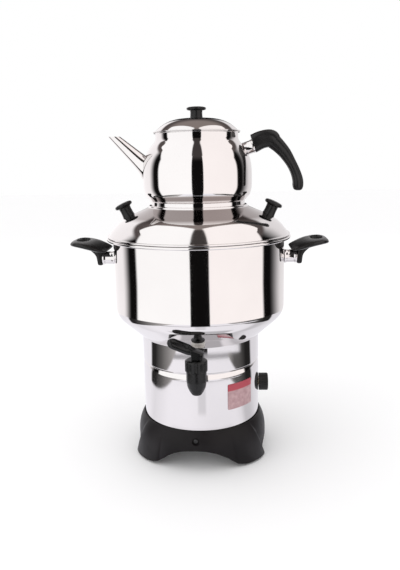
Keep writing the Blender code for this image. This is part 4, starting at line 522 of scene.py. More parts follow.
# Across a foot: place, and shares of the swell and the lift
FOOT = (
    (-1.12, 0, 1), (-1, 0.24, 0.72), (-0.6, 0.50, 0.2), (-0.15, 0.78, 0), (0.3, 0.96, 0),
    (0.7, 1, 0), (1, 0.80, 0), (1.12, 0, 0),
)
FOOT_LIFT = 0.0055
FOOT_COLUMNS = 42
SKIRT_ROWS = 26
BASE_TURN = radians(-3.0)
SOLE_HEIGHT = 0.0025
SOLE_INNER_RADIUS = 0.0765
ARCHES = (("front", SOLE_HEIGHT + FOOT_LIFT, 0.0325, 60), ("side", SOLE_HEIGHT, 0.0200, 30))
ARCH_POWER = 2.35
LEDGE_UNDERSIDE = 0.0365
CASING_SEAT = 0.040
LEDGE_INNER_RADIUS = 0.070
BASE_BORE = 0.0846
PAD_CENTRE_RADIUS = 0.0875
PAD = mm((0, 0), (8, 0, 0.6), (8, 2.2, 0.3), (0, 2.2))
SKIRT_SCREWS = 3
SCREW_HEIGHT = 0.0455
SCREW_DEPTH = 0.0028
SCREW_RECESS = mm((0, -2.8), (4.8, -2.8, 0.6), (5.376, 2.8), (0, 2.8))
SCREW = mm((0, -8), (1.6, -8, 0.3), (1.6, 0.2), (3.2, 0.2), (3.2, 1.9, 1.2), (0, 1.9))
SCREW_CROSS = (0.00368, 0.0007, 0.0019)
SCREW_CROSS_LIFT = 0.001995
SCREW_CROSS_TURNS = (radians(25.0), radians(115.0))


def skirt_radius(height):
    drop = share_of(BASE_HEIGHT - height, 0.0, BASE_SKIRT_DROP)
    return BASE_SKIRT_RADIUS - (BASE_SKIRT_RADIUS - BASE_TOP_RADIUS) * (1.0 - drop) ** BASE_SKIRT_POWER


def base_fall(height):
    return (BASE_HEIGHT - height) / (BASE_HEIGHT - SOLE_HEIGHT)


def base_columns():
    """Columns round the base: middle azimuth of the half, kind, place, swell and lower edge."""
    feet = []
    for t in shares(FOOT_COLUMNS):
        place, swell, lift = (between(values, t) for values in zip(*FOOT))
        feet.append((place, max(0.0, swell), SOLE_HEIGHT + FOOT_LIFT * max(0.0, lift)))
    columns = []
    for middle in (BASE_TURN, pi + BASE_TURN):
        for kind, foot, crown, count in ARCHES:
            for index in range(1, count):
                place = 2.0 * index / count - 1.0
                low = foot + (crown - foot) * (1.0 - abs(place) ** ARCH_POWER)
                columns.append((middle, kind, place, 0.0, low))
            if kind == "front":
                columns += [(middle, "right", *foot_column) for foot_column in feet]
        columns += [(middle + pi, "left", *foot_column) for foot_column in feet[::-1]]
    return columns


def column_turn(middle, kind, place, height):
    centre = FOOT_TURN_TOP + (FOOT_TURN_SOLE - FOOT_TURN_TOP) * base_fall(height)
    half = FOOT_HALF_TOP + (FOOT_HALF_SOLE - FOOT_HALF_TOP) * base_fall(height)
    if kind == "front":
        return middle + (centre + half * FOOT[0][0]) * place
    if kind == "side":
        outer = centre + half * FOOT[-1][0]
        return middle + pi / 2.0 + (pi / 2.0 - outer) * place
    away = centre + half * place
    return middle + away if kind == "right" else middle - away


def base_profile(kind, swell, low):
    """A column's closed points (radius, height): down the skirt outside and up its inside."""
    profile = [(BASE_TOP_RADIUS - BASE_EDGE, BASE_HEIGHT),
               (BASE_TOP_RADIUS - BASE_LIP, BASE_HEIGHT - BASE_LIP)]
    top = BASE_HEIGHT - BASE_EDGE
    for row in range(SKIRT_ROWS + 1):
        height = top - (top - low - BASE_EDGE) * row / SKIRT_ROWS
        profile.append((skirt_radius(height) + TOE_SWELL * swell * base_fall(height), height))
    edge = profile[-1][0]
    inside = edge - BASE_WALL
    floor = min(low + BASE_WALL, LEDGE_UNDERSIDE - TINY)
    step = SOLE_INNER_RADIUS if kind in ("left", "right") else inside - BASE_EDGE
    return profile + [
        (edge - BASE_LIP, low + BASE_LIP), (edge - BASE_EDGE, low), (step, low), (step, floor),
        (inside, floor), (skirt_radius(LEDGE_UNDERSIDE) - BASE_WALL, LEDGE_UNDERSIDE),
        (LEDGE_INNER_RADIUS, LEDGE_UNDERSIDE), (LEDGE_INNER_RADIUS, CASING_SEAT), (BASE_BORE, CASING_SEAT),
        (BASE_BORE, BASE_HEIGHT - BASE_LIP), (BASE_BORE + BASE_LIP, BASE_HEIGHT)]


def make_base():
    shape = bmesh.new()
    rings = []
    for middle, kind, place, swell, low in base_columns():
        ring = []
        for radius, height in base_profile(kind, swell, low):
            spot = outward(column_turn(middle, kind, place, height)) * radius
            ring.append(shape.verts.new(spot + AXIS * height))
        rings.append(ring)
    skin(shape, rings + rings[:1])
    base = object_of(shape, "base_shell")
    for index in range(SKIRT_SCREWS):
        direction = outward(BASE_TURN + tau * index / SKIRT_SCREWS)
        place = along(direction, direction * skirt_radius(SCREW_HEIGHT) + AXIS * SCREW_HEIGHT)
        combine(base, turned_shape(rounded(SCREW_RECESS), SMALLEST, place))
        make_screw(f"skirt_screw_{index + 1}", place @ moved(AXIS * -SCREW_DEPTH),
                   f"casing_screw_{index + 1}")
    settle(base, "stand", "base_plastic", "base_ring")
    turns = (FOOT_TURN_SOLE, pi - FOOT_TURN_SOLE, pi + FOOT_TURN_SOLE, -FOOT_TURN_SOLE)
    for index, turn in enumerate(turns):
        spot = outward(turn + BASE_TURN) * PAD_CENTRE_RADIUS
        pad = turned(f"sole_pad_{index + 1}", rounded(PAD), SMALLER, moved(spot))
        settle(pad, "stand", "rubber", f"foot_pad_{index + 1}")


def make_screw(name, place, node):
    """A pan-head screw with a cross recess, its head towards the local Z axis."""
    screw = turned(name, rounded(SCREW), SMALLEST, place)
    for turn in SCREW_CROSS_TURNS:
        cross = moved(AXIS * SCREW_CROSS_LIFT) @ Matrix.Rotation(turn, 4, "Z")
        combine(screw, block_shape(SCREW_CROSS, place @ cross))
    settle(screw, "stand", "zinc", node, "screw")


# Steel pot: casing, tank and lid

SHEET = 0.0008
CASING_RADIUS = 0.084
CASING = mm((84, 40.3), (84, 58), (84, 130.5, 30), (83.1, 138.5, 1.2), (81.9, 138.5))
TANK = mm((0, 131), (82.6, 131, 4), (82.6, 139.8), (84, 139.8, 1.3), (84, 176.4, 1.6), (120, 209.2, 22),
          (120, 313.4, 1.2), (128.6, 313.4, 1.8), (128.6, 317.2, 1.8), (126.8, 317.2))
LID_DOME_FOOT = 0.3195
LID_DOME_RADIUS = 0.125
LID_DOME_RISE = 0.0325
LID_DOME_POWER = 6.0
LID_DOME_END = 0.1236
LID_DOME_ROWS = 44
LID_CROWN_RISE = 0.0064
LID_CROWN_REACH = 0.030
LID_SKIRT_RADIUS = 0.1187
LID_SKIRT_END = 0.3085
LID_BRIM = mm((124.4, 320.1, 0.4), (127.6, 320.1, 1.25), (127.6, 317.5, 1.25), (118.7, 317.5, 0.6),
              (118.7, 308.5))
COLLAR_RADIUS = 0.0686
COLLAR_ROOT = 0.0016
COLLAR = mm((50, 353.5), (66.1, 353.5, 0.8), (66.1, 359.7, 1.2), (68.6, 359.7, 1.2))


def make_pot():
    for name, outline, slot, node in (("casing_shell", CASING, "casing_steel", "lower_casing"),
                                      ("tank_shell", TANK, "tank_steel", "water_tank")):
        outer = rounded(outline)
        settle(turned(name, outer + walled(outer, SHEET)), "stand", slot, node)


def lid_dome(radius):
    """The lid's height: a flat-topped dome that rises a little more to its collar."""
    crown = max(0.0, 1.0 - (radius - COLLAR_RADIUS) / LID_CROWN_REACH)
    return (LID_DOME_FOOT + LID_DOME_RISE * (1.0 - (radius / LID_DOME_RADIUS) ** LID_DOME_POWER)
            + LID_CROWN_RISE * crown ** 2.0)


def make_pot_lid():
    corners = [*COLLAR, (COLLAR_RADIUS, lid_dome(COLLAR_RADIUS), COLLAR_ROOT)]
    for row in range(1, LID_DOME_ROWS + 1):
        radius = COLLAR_RADIUS + (LID_DOME_END - COLLAR_RADIUS) * row / LID_DOME_ROWS
        corners.append((radius, lid_dome(radius)))
    outer = rounded([*corners, *LID_BRIM])
    wall = LID_SKIRT_RADIUS - SHEET
    foot = [(wall, LID_SKIRT_END), (wall, lid_dome(wall) - SHEET * 2.0)]
    inner = walled([point for point in outer if point.x < wall - SHEET], -SHEET)
    settle(turned("pot_lid_shell", outer + foot + inner), "pot_lid", "pot_lid_steel", "pot_lid")


# Mushroom knobs: shares of the neck's and the cap's radius, and of the height
KNOB_NECK_SHARES = ((1.06, 0), (1.00, 0.06), (0.96, 0.22), (0.95, 0.46), (0.97, 0.58), (1.02, 0.66))
KNOB_CAP_SHARES = (
    (0.90, 0.705), (0.965, 0.74), (0.995, 0.78), (1, 0.83), (0.97, 0.885), (0.88, 0.93), (0.70, 0.965),
    (0.42, 0.985), (0.16, 0.995), (0, 1),
)
KNOB_STEPS = 4
LID_KNOB_PLACE = 0.098
LID_SLOPE_STEP = 0.000098
LID_KNOB = (0.0126, 0.0084, 0.0204, 0.0016)
CAP_KNOB = (0.0133, 0.0086, 0.0149, 0.0)


def knob_outline(cap, neck, height, root):
    """The smooth points of a knob with a root below its foot."""
    points = [Vector((neck * r, height * z if z > 0.0 else -root)) for r, z in KNOB_NECK_SHARES]
    points += [Vector((cap * r, height * z)) for r, z in KNOB_CAP_SHARES]
    return [(0.0, -root)] + [between(points, t) for t in shares((len(points) - 1) * KNOB_STEPS)]


def make_lid_knobs():
    foot = lid_dome(LID_KNOB_PLACE)
    slope = (lid_dome(LID_KNOB_PLACE + LID_SLOPE_STEP) - foot) / LID_SLOPE_STEP
    for side, tag in SIDES:
        place = along((-slope * side, 0.0, 1.0), (side * LID_KNOB_PLACE, 0.0, foot))
        knob = turned(f"pot_lid_knob_{tag}", knob_outline(*LID_KNOB), SMALL, place)
        settle(knob, "pot_lid", "bakelite", f"lid_knob_{tag}")


# Side handles

HANDLE_HEIGHT = 0.2854
SIDE_FERRULE = mm((8.3, 120.3), (9.9, 120.3, 0.3), (9.7, 122.5, 0.8), (9, 124.8, 2), (9, 133.3, 2),
                  (9.7, 135.6, 0.8), (9.7, 137.8, 0.3), (8.3, 137.8))
# Stations along the wing: reach, height, half width and half thickness
WING = mm((128.6, 297.84, 26.64, 1.188), (131.16, 298.4, 31.82, 2.268), (138.84, 300.64, 35.89, 4.32),
          (149.08, 304, 37, 5.4), (160.344, 306.8, 36.26, 5.4), (170.584, 308.2, 31.82, 4.86),
          (177.24, 308.06, 24.42, 3.78), (179.8, 307.5, 18.5, 1.836))
WING_POWER = 2.5
# Stations up the post under the wing: height, half length and half width
POST = mm((275.2, 2.4, 5.9125), (276.76, 3.36, 9.1375), (283, 3.72, 10.75), (289.5, 4.56, 10.75),
          (296, 7.68, 10.75), (301.2, 12, 10.75))
POST_START = 0.1381
POST_POWER = 4.0
SLOT_PLACE = 0.1642
SLOT_HALF_LENGTH = 0.0065
SLOT_HALF_WIDTH = 0.0165
SLOT_POWER = 2.4
SLOT_LEVELS = ((0.2834, 1.0), (0.3054, 1.0), (0.3190, 1.5))
# Melts: size of the voxels and rounds of smoothing
SIDE_GRIP_MELT = (0.0007, 6)


def make_side_handles():
    for side, tag in SIDES:
        away = Vector((side, 0.0, 0.0))
        place = along(away, AXIS * HANDLE_HEIGHT)
        ferrule = turned(f"side_ferrule_{tag}", rounded(SIDE_FERRULE), MEDIUM, place)
        settle(ferrule, "stand", "trim_steel", f"handle_ferrule_{tag}")
        wing = []
        post = []
        for t in shares(LOFT_ROWS):
            reach, height, wide, thick = (between(values, t) for values in zip(*WING))
            wing.append(section(away * reach + AXIS * height, ACROSS, AXIS, wide, thick, WING_POWER))
            height, long, wide = (between(values, t) for values in zip(*POST))
            spot = away * (POST_START + long) + AXIS * height
            post.append(section(spot, ACROSS, away, wide, long, POST_POWER))
        grip = object_of(lofted_shape(wing), f"side_grip_{tag}")
        combine(grip, lofted_shape(post), "UNION")
        slot = [section(away * SLOT_PLACE + AXIS * height, ACROSS, away, SLOT_HALF_WIDTH * grow,
                        SLOT_HALF_LENGTH * grow, SLOT_POWER) for height, grow in SLOT_LEVELS]
        combine(grip, lofted_shape(slot))
        melt(grip, *SIDE_GRIP_MELT)
        settle(grip, "stand", "bakelite", f"handle_grip_{tag}")


# Tap

TAP_REACH = 0.119
TAP_SHANK_HEIGHT = 0.1515
TAP_BODY = mm((0, 126), (6, 126, 1.2), (9, 130.5, 3), (11.8, 136.5, 6), (13, 144.5, 6), (13, 158, 0.6),
              (10.8, 158), (10.8, 166.5), (0, 166.5))
TAP_BORE = mm((0, 122.3), (3.7, 122.3), (3.7, 138), (0, 138))
TAP_ARM = mm((0, 72), (8, 72), (8, 87.6), (12, 87.6, 0.6), (12, 90.2, 0.8), (7.8, 92.6, 3), (6.2, 100, 4),
             (6.2, 112), (0, 112))
BONNET = mm((11, 158.3), (14.45, 158.3, 0.6), (14.45, 171.9, 1.6), (11.25, 173.5, 1.2), (3.3, 173.5))
BONNET_HOLLOW = mm((3.3, 167), (11, 167))
BONNET_STEP = 0.0009
FLUTES = 12
FLUTE_DEPTH = 0.0009
FLUTE_RADIUS = 0.01156
FLUTE_LOW = (0.1597, 0.1609)
FLUTE_HIGH = (0.1725, 0.1705)
TAP_MELT = (0.0004, 5)


def bonnet_flutes(r, z, turn):
    if r < FLUTE_RADIUS:
        return r
    fade = min(share_of(z, *FLUTE_LOW), share_of(z, *FLUTE_HIGH))
    return r - FLUTE_DEPTH * max(0.0, cos(turn * FLUTES)) ** 2.0 * fade


def make_tap():
    place = moved((0.0, -TAP_REACH, 0.0))
    body = turned("tap_shell", rounded(TAP_BODY), MEDIUM, place)
    arm = turned_shape(rounded(TAP_ARM), SMALL, along((0.0, -1.0, 0.0), AXIS * TAP_SHANK_HEIGHT))
    combine(body, arm, "UNION")
    combine(body, turned_shape(TAP_BORE, SMALLER, place))
    melt(body, *TAP_MELT)
    settle(body, "stand", "tap_bakelite", "tap_body")
    corners = rounded(BONNET)
    outline = []
    for a, b in zip(corners, corners[1:]):
        count = max(1, round((b - a).length / BONNET_STEP))
        outline += [a.lerp(b, index / count) for index in range(count)]
    bonnet = turned("bonnet_shell", [*outline, corners[-1], *BONNET_HOLLOW], FLUTED, place, bonnet_flutes)
    settle(bonnet, "stand", "tap_bakelite", "tap_bonnet")


PIN_HEIGHT = 0.1786
LEVER_TILT = radians(22.4)
LEVER_ABOVE_PIN = 0.0034
LEVER_LENGTH = 0.0390
LEVER_BACK = 0.0090
LEVER_THICKNESS = 0.0086
LEVER_WIDTH = 0.0164
LEVER_TIP_WIDTH = 0.0180
LEVER_POWER = 2.8
LEVER_LEAST_WIDTH_SHARE = 0.16
LEVER_LEAST_THICKNESS_SHARE = 0.55
LEVER_TWIST = radians(20.0)
LEVER_TWIST_REACH = (0.002, 0.012)
LEVER_BLOCK = mm((6, 4.3), (6, -4.8, 1.2), (-6, -4.8, 1.2), (-6, 8.6))
LEVER_BLOCK_SIDES = (-0.0083, 0.0083)
LEVER_SLOT = (0.018, 0.0068, 0.0096)
LEVER_SLOT_PLACE = (-0.0034, 0.0, -0.0035)
LEVER_RECESS_PLACE = 0.02345
LEVER_RECESS_HALVES = (0.01295, 0.0056)
LEVER_RECESS_POWER = 2.6
LEVER_RECESS_LEVELS = ((0.0009, 0.72), (0.00226, 0.93), (0.0077, 1.15))
LEVER_MELT = (0.00035, 4)


def make_lever():
    place = moved((0.0, -TAP_REACH, PIN_HEIGHT))
    rise = Vector((-cos(LEVER_TILT), 0.0, sin(LEVER_TILT)))
    upward = Vector((sin(LEVER_TILT), 0.0, cos(LEVER_TILT)))
    sections = []
    for t in shares(LOFT_ROWS):
        far = -LEVER_BACK + (LEVER_LENGTH + LEVER_BACK) * sin(t * pi / 2.0)
        width = (LEVER_WIDTH + (LEVER_TIP_WIDTH - LEVER_WIDTH) * t) / 2.0
        taper = sqrt(1.0 - max(0.0, (far - LEVER_LENGTH + width) / width) ** 2.0)
        taper = max(taper, LEVER_LEAST_WIDTH_SHARE)
        twist = Matrix.Rotation(-LEVER_TWIST * ease(far, *LEVER_TWIST_REACH), 3, rise)
        thick = LEVER_THICKNESS / 2.0 * max(taper, LEVER_LEAST_THICKNESS_SHARE)
        sections.append(section(AXIS * LEVER_ABOVE_PIN + rise * far, twist @ ACROSS, twist @ upward,
                                width * taper, thick, LEVER_POWER))
    paddle = lofted_shape(sections)
    paddle.transform(place)
    lever = object_of(paddle, "lever_shell")
    combine(lever, lofted_shape([[place @ Vector((point.x, y, point.y)) for point in rounded(LEVER_BLOCK)]
                                 for y in LEVER_BLOCK_SIDES]), "UNION")
    combine(lever, block_shape(LEVER_SLOT, place @ moved(LEVER_SLOT_PLACE)))
    twist = Matrix.Rotation(-LEVER_TWIST, 3, rise)
    length, width = LEVER_RECESS_HALVES
    recess = []
    for height, grow in LEVER_RECESS_LEVELS:
        middle = AXIS * LEVER_ABOVE_PIN + rise * LEVER_RECESS_PLACE + twist @ upward * height
        ring = section(middle, rise, twist @ ACROSS, length * grow, width * grow, LEVER_RECESS_POWER)
        recess.append([place @ point for point in ring])
    combine(lever, lofted_shape(recess))
    melt(lever, *LEVER_MELT)
    settle(lever, "tap_lever", "tap_bakelite", "tap_lever")


# Thermostat knob

THERMOSTAT_HEIGHT = 0.0975
DIAL = mm((9.2, 89), (9.2, 84.8, 0.3), (12.7, 84.8, 0.4), (12.7, 87), (12.7, 96.4), (12.7, 98.2, 2),
          (0, 98.6), (0, 89))
DIAL_FLUTES = 24
DIAL_FLUTE_DEPTH = 0.00035
DIAL_FLUTE_RADIUS = 0.012319
DIAL_FLUTE_RANGE = (0.0863, 0.09706)
DIAL_NOTCH = (0.0007, 0.0011, 0.006985)
DIAL_NOTCH_PLACE = (0.0986, 0.0, 0.105374)


def dial_flutes(r, z, turn):
    if r < DIAL_FLUTE_RADIUS or not DIAL_FLUTE_RANGE[0] < z < DIAL_FLUTE_RANGE[1]:
        return r
    return r - DIAL_FLUTE_DEPTH * (0.5 + 0.5 * cos(turn * DIAL_FLUTES))


def make_dial():
    place = along((1.0, 0.0, 0.0), AXIS * THERMOSTAT_HEIGHT)
    dial = turned("dial_shell", rounded(DIAL), FLUTED, place, dial_flutes)
    combine(dial, block_shape(DIAL_NOTCH, moved(DIAL_NOTCH_PLACE)))
    settle(dial, "thermostat", "bakelite", "thermostat_knob")


# Teapot

TEAPOT_BOTTOM = 0.3538
TEAPOT_SOLE = mm((0, 356), (59, 356), (61.2, 353.8))
TEAPOT_INSIDE = mm((64.2, 356.8), (0, 356.8))
BEVEL_RADIUS = 0.0716
BEVEL_TOP = 0.3725
TEAPOT_FOOT = mm((65, 353.8), (65, 364.8, 1), (71.6, 372.5, 1.2))
BELLY_RADIUS = 0.075
BELLY_HEIGHT = 0.392
BELLY_LOW_POWER = 3.0
BELLY_HIGH_POWER = 3.2
BELLY_ROWS = 40
NECK_RADIUS = 0.0564
NECK_LOW = 0.446
NECK_RIM = 0.4568
NECK_ROWS_OUT = 3
NECK = mm((56.4, 446, 10), (56.4, 456, 0.6), (58.6, 456))
NECK_FLANGE = mm((58.6, 456.8))
TRIM_GAP = 0.0001


def belly_radius(height):
    if height < BELLY_HEIGHT:
        share = (BELLY_HEIGHT - height) / (BELLY_HEIGHT - BEVEL_TOP)
        return BELLY_RADIUS - (BELLY_RADIUS - BEVEL_RADIUS) * share ** BELLY_LOW_POWER
    share = (height - BELLY_HEIGHT) / (NECK_LOW - BELLY_HEIGHT)
    return BELLY_RADIUS - (BELLY_RADIUS - NECK_RADIUS) * share ** BELLY_HIGH_POWER


def teapot_path():
    belly = []
    for row in range(1, BELLY_ROWS - NECK_ROWS_OUT + 1):
        height = BEVEL_TOP + (NECK_LOW - BEVEL_TOP) * row / BELLY_ROWS
        belly.append((belly_radius(height), height))
    return rounded([*TEAPOT_FOOT, *belly, *NECK])


def teapot_solid():
    """The teapot filled up, to trim what is fixed to its wall."""
    return turned_shape([(0.0, TEAPOT_BOTTOM), *offset_path(teapot_path(), -TRIM_GAP), (0.0, NECK_RIM)])


def make_teapot_body():
    outer = teapot_path()
    inner = [point for point in offset_path(outer, SHEET) if point.y > TEAPOT_INSIDE[0][1]]
    body = turned("teapot_shell", [*TEAPOT_SOLE, *outer, *NECK_FLANGE, *inner[-2::-1], *TEAPOT_INSIDE])
    settle(body, "teapot", "teapot_steel", "teapot_body")


SPOUT_ROOT = Vector((-0.0620, 0.0, 0.4035))
SPOUT_TIP = Vector((-0.1190, 0.0, 0.4575))
SPOUT_ROOT_RADIUS = 0.0132
SPOUT_TIP_RADIUS = 0.0049
SPOUT_FLARE = 0.0034
SPOUT_FLARE_START = 0.0075
SPOUT_FLARE_REACH = 0.0050
SPOUT_ROWS = 36
SPOUT_CUT = 0.4535


def make_spout():
    direction = SPOUT_TIP - SPOUT_ROOT
    length = direction.length
    outer = []
    for row in range(SPOUT_ROWS + 1):
        z = length * row / SPOUT_ROWS
        flare = SPOUT_FLARE * exp(-max(0.0, z - SPOUT_FLARE_START) / SPOUT_FLARE_REACH)
        radius = SPOUT_ROOT_RADIUS + (SPOUT_TIP_RADIUS - SPOUT_ROOT_RADIUS) * z / length
        outer.append(Vector((radius + flare, z)))
    outline = outer + [point - Vector((SHEET, 0.0)) for point in outer[::-1]]
    spout = turned("spout_shell", outline, MEDIUM, along(direction, SPOUT_ROOT))
    combine(spout, teapot_solid())
    above = moved((SPOUT_TIP.x, 0.0, SPOUT_CUT + SPOUT_CUT / 2.0))
    combine(spout, block_shape((SPOUT_CUT, SPOUT_CUT, SPOUT_CUT), above))
    settle(spout, "teapot", "teapot_steel", "teapot_spout")


ARM_TILT = radians(19.5)
ARM_HEIGHT = 0.4339
ARM_FERRULE = mm((7.6, -13.2), (8.8, -13.2), (8.8, 8.7), (9.2, 9.5, 0.6), (9.2, 11.7, 0.4), (7.6, 11.7))
GRIP_START = 0.0120
GRIP_OFFSET = 0.0028
GRIP_REACH = 0.0611
GRIP_DROP = 0.0640
GRIP_THICKNESS = 0.0250
GRIP_WIDTH = 0.0215
GRIP_POWER = 2.9
GRIP_TURN_SPEED = 6.0
# Stations along the grip: shares of its reach, drop, thickness and width
GRIP = (
    (0, 0, 1, 0.96), (0.19, 0.08, 0.96, 1), (0.38, 0.10, 0.94, 1), (0.466, 0.025, 0.82, 0.98),
    (0.584, -0.08, 0.73, 0.95), (0.71, -0.219, 0.655, 0.9), (0.838, -0.41, 0.55, 0.86),
    (0.933, -0.59, 0.535, 0.84), (0.992, -0.767, 0.57, 0.86), (1, -0.894, 0.575, 0.86),
    (1.003, -0.972, 0.44, 0.7), (1.003, -0.997, 0.2, 0.3),
)
GROOVE = 0.0010
GROOVE_PLACE_SHARE = 0.30
GROOVE_WIDTH_SHARE = 0.16
GROOVE_SIDE_SHARE = 0.7
GROOVE_START = (0.03, 0.09)
GROOVE_END = (0.95, 0.89)


def make_teapot_handle():
    direction = Vector((cos(ARM_TILT), 0.0, sin(ARM_TILT)))
    place = along(direction, (belly_radius(ARM_HEIGHT), 0.0, ARM_HEIGHT))
    ferrule = turned("arm_ferrule", rounded(ARM_FERRULE), MEDIUM, place)
    combine(ferrule, teapot_solid())
    settle(ferrule, "teapot", "trim_steel", "teapot_ferrule")
    start = place @ Vector((0.0, 0.0, GRIP_START)) + direction.cross(ACROSS) * GRIP_OFFSET
    spots = [start + Vector((GRIP_REACH * reach, 0.0, GRIP_DROP * rise)) for reach, rise, *_ in GRIP]
    rows = LOFT_ROWS * 2
    centres = [between(spots, t) for t in shares(rows)]
    sections = []
    for row, centre in enumerate(centres):
        t = row / rows
        run = (centres[min(row + 1, rows)] - centres[max(row - 1, 0)]).normalized()
        upward = ACROSS.cross(direction.lerp(run, min(1.0, t * GRIP_TURN_SPEED)).normalized()).normalized()
        _, _, thick, wide = (between(values, t) for values in zip(*GRIP))
        half = GRIP_THICKNESS / 2.0 * thick
        wide *= GRIP_WIDTH / 2.0
        fade = GROOVE * min(share_of(t, *GROOVE_START), share_of(t, *GROOVE_END))
        ring = []
        for point in section(centre, ACROSS, upward, wide, half, GRIP_POWER, LOFT_POINTS * 2):
            u = (point - centre).dot(ACROSS)
            v = (point - centre).dot(upward) / half
            away = (v + GROOVE_PLACE_SHARE) / GROOVE_WIDTH_SHARE
            dent = fade * exp(-away ** 2.0) * min(1.0, abs(u) / (wide * GROOVE_SIDE_SHARE)) ** 4.0
            ring.append(point - ACROSS * copysign(dent, u))
        sections.append(ring)
    handle = object_of(lofted_shape(sections), "teapot_grip")
    settle(handle, "teapot", "bakelite", "teapot_handle")


CAP_DOME_FOOT = 0.4585
CAP_DOME_RADIUS = 0.0565
CAP_DOME_RISE = 0.0172
CAP_DOME_POWER = 3.5
CAP_DOME_END = 0.0537
CAP_ROWS = 36
CAP_RIM = mm((59.5, 458.5, 0.6), (59.5, 457.1, 0.6), (55.3, 457.1, 0.4), (55.3, 450.1))
CAP_FOOT = mm((54.5, 450.1), (54.5, 457.1))


def make_teapot_lid():
    corners = []
    for share in shares(CAP_ROWS):
        height = CAP_DOME_FOOT + CAP_DOME_RISE * (1.0 - share ** CAP_DOME_POWER)
        corners.append((CAP_DOME_RADIUS * share, height))
    outer = rounded([*corners, *CAP_RIM])
    inner = walled([point for point in outer[:CAP_ROWS] if point.x < CAP_DOME_END], -SHEET)
    settle(turned("teapot_cap", [*outer, *CAP_FOOT, *inner]), "teapot_lid", "teapot_steel", "teapot_lid")
    top = moved(AXIS * (CAP_DOME_FOOT + CAP_DOME_RISE + CLEARANCE))
    knob = turned("cap_knob", knob_outline(*CAP_KNOB), SMALL, top)
    settle(knob, "teapot_lid", "bakelite", "teapot_lid_knob")


# Label field and cord gland

LABEL_LAYERS = (0.0003, 0.0005)
LABEL_CORNER = 0.0015
LABEL_COLUMNS = 48
LABEL_ROWS = 24


def make_label():
    """A thin film with round corners, bent round the casing."""
    columns = []
    for share in shares(LABEL_COLUMNS):
        across = LABEL_WIDTH * (share - 0.5)
        near = max(0.0, LABEL_CORNER - (LABEL_WIDTH / 2.0 - abs(across)))
        trim = LABEL_CORNER - sqrt(max(0.0, LABEL_CORNER ** 2.0 - near ** 2.0))
        away = outward(LABEL_TURN + across / CASING_RADIUS)
        heights = [LABEL_LOW + trim + (LABEL_HEIGHT - 2.0 * trim) * step for step in shares(LABEL_ROWS)]
        back, front = ([away * (CASING_RADIUS + proud) + AXIS * height for height in heights]
                       for proud in LABEL_LAYERS)
        columns.append(back + front[::-1])
    settle(object_of(lofted_shape(columns), "label_film"), "stand", "label_field", "label_plate")


GLAND_HEIGHT = 0.0475
GLAND_TOP = 0.056
GLAND_SINK = 0.0001
GLAND_HOLE = (0.0783, 0.1006)
GLAND_HOLE_RADIUS = 0.0063
GLAND_SEAT_RADIUS = 0.0089
GLAND_INSIDE = mm((3.7, 80.3), (7.4, 80.3, 0.6), (7.4, 82.3, 0.3), (6, 82.3))
GLAND_OVER_SEAT = mm((6, 0), (8.5, 0, 0.4), (8.5, 1.75, 0.9), (5.7, 3.5, 0.7), (3.7, 3.5))


def make_gland():
    place = along(outward(pi + BASE_TURN), AXIS * GLAND_HEIGHT)
    seat = skirt_radius(GLAND_TOP) - GLAND_SINK
    start, end = GLAND_HOLE
    hollow = ((0.0, start), (GLAND_HOLE_RADIUS, start), (GLAND_HOLE_RADIUS, seat),
              (GLAND_SEAT_RADIUS, seat - CLEARANCE), (GLAND_SEAT_RADIUS, end), (0.0, end))
    combine(bpy.data.objects["base_shell"], turned_shape(hollow, SMALLER, place))
    outline = [*GLAND_INSIDE, *((r, seat + rise, *fillet) for r, rise, *fillet in GLAND_OVER_SEAT)]
    settle(turned("gland_shell", rounded(outline), SMALL, place), "stand", "rubber", "cord_gland")


DRESSED_SLOTS = ("rubber", "zinc", "silicone", "brass", "ceramic", "element_steel", "lead_sleeve")


def dress_nodes():
    """Give the CAD nodes that stay in view their node materials."""
    slots = {entry["node"]: entry["material_slot"] for entry in frame["record"]["subparts"]}
    for name, node in frame["nodes"].items():
        if slots.get(name) in DRESSED_SLOTS:
            for slot in node.material_slots:
                slot.material = FINISHES[slots[name]]


# The room in the steel: cards in vertex colours, seen only in reflections. Its places are seen from the
# camera: degrees run to its right, x to its right and y away from it.

ROOM_RADIUS = 1.05
ROOM_TOP = 1.30
GAP_EDGE = (11.2, 12.0)
SIDE_EDGE = {"left": (83.5, 88.5), "right": (85, 90)}
SIDE_EDGE_SPREAD = 42
BACK_EDGE = {"left": (98, 118), "right": (100, 136)}
BACK_SHARE = {"left": 1, "right": 0.80}
REAR_EDGE = (164, 174)
BOX_SHOULDER = 0.86
SWEEP_TOP = (1.02, 1.16)
BOX = {"left": (1.25, 1.25, 1.25), "right": (1.22, 1.16, 1.145)}
SWEEP = (1.12, 1.09, 1.10)
CEILING = (0.285, 0.240, 0.225)
CEILING_EDGE = (0.105, 0.088, 0.085)
CEILING_FADE = (0.4725, ROOM_RADIUS)
OVERHEAD_GAP = 0.05
OVERHEAD_GAP_FRONT = 0.18
OVERHEAD_GAP_BACK = 0.85
OVERHEAD_SOFT = (-0.018, 0.018)
OVERHEAD_BACK = (0.502, 0.538)
OVERHEAD_FRONT = (-0.12, 0.02)
OVERHEAD_DARK = (0.060, 0.052, 0.050)
DARK = (0.0055, 0.0050, 0.0050)
ROOM_COLUMNS = 720
WALL_ROWS = 60
TABLE_ROWS = 190
CEILING_ROWS = 60


def mixed(first, last, share):
    return Vector(first).lerp(Vector(last), share)


def side_of(place):
    return "left" if place < 0.0 else "right"


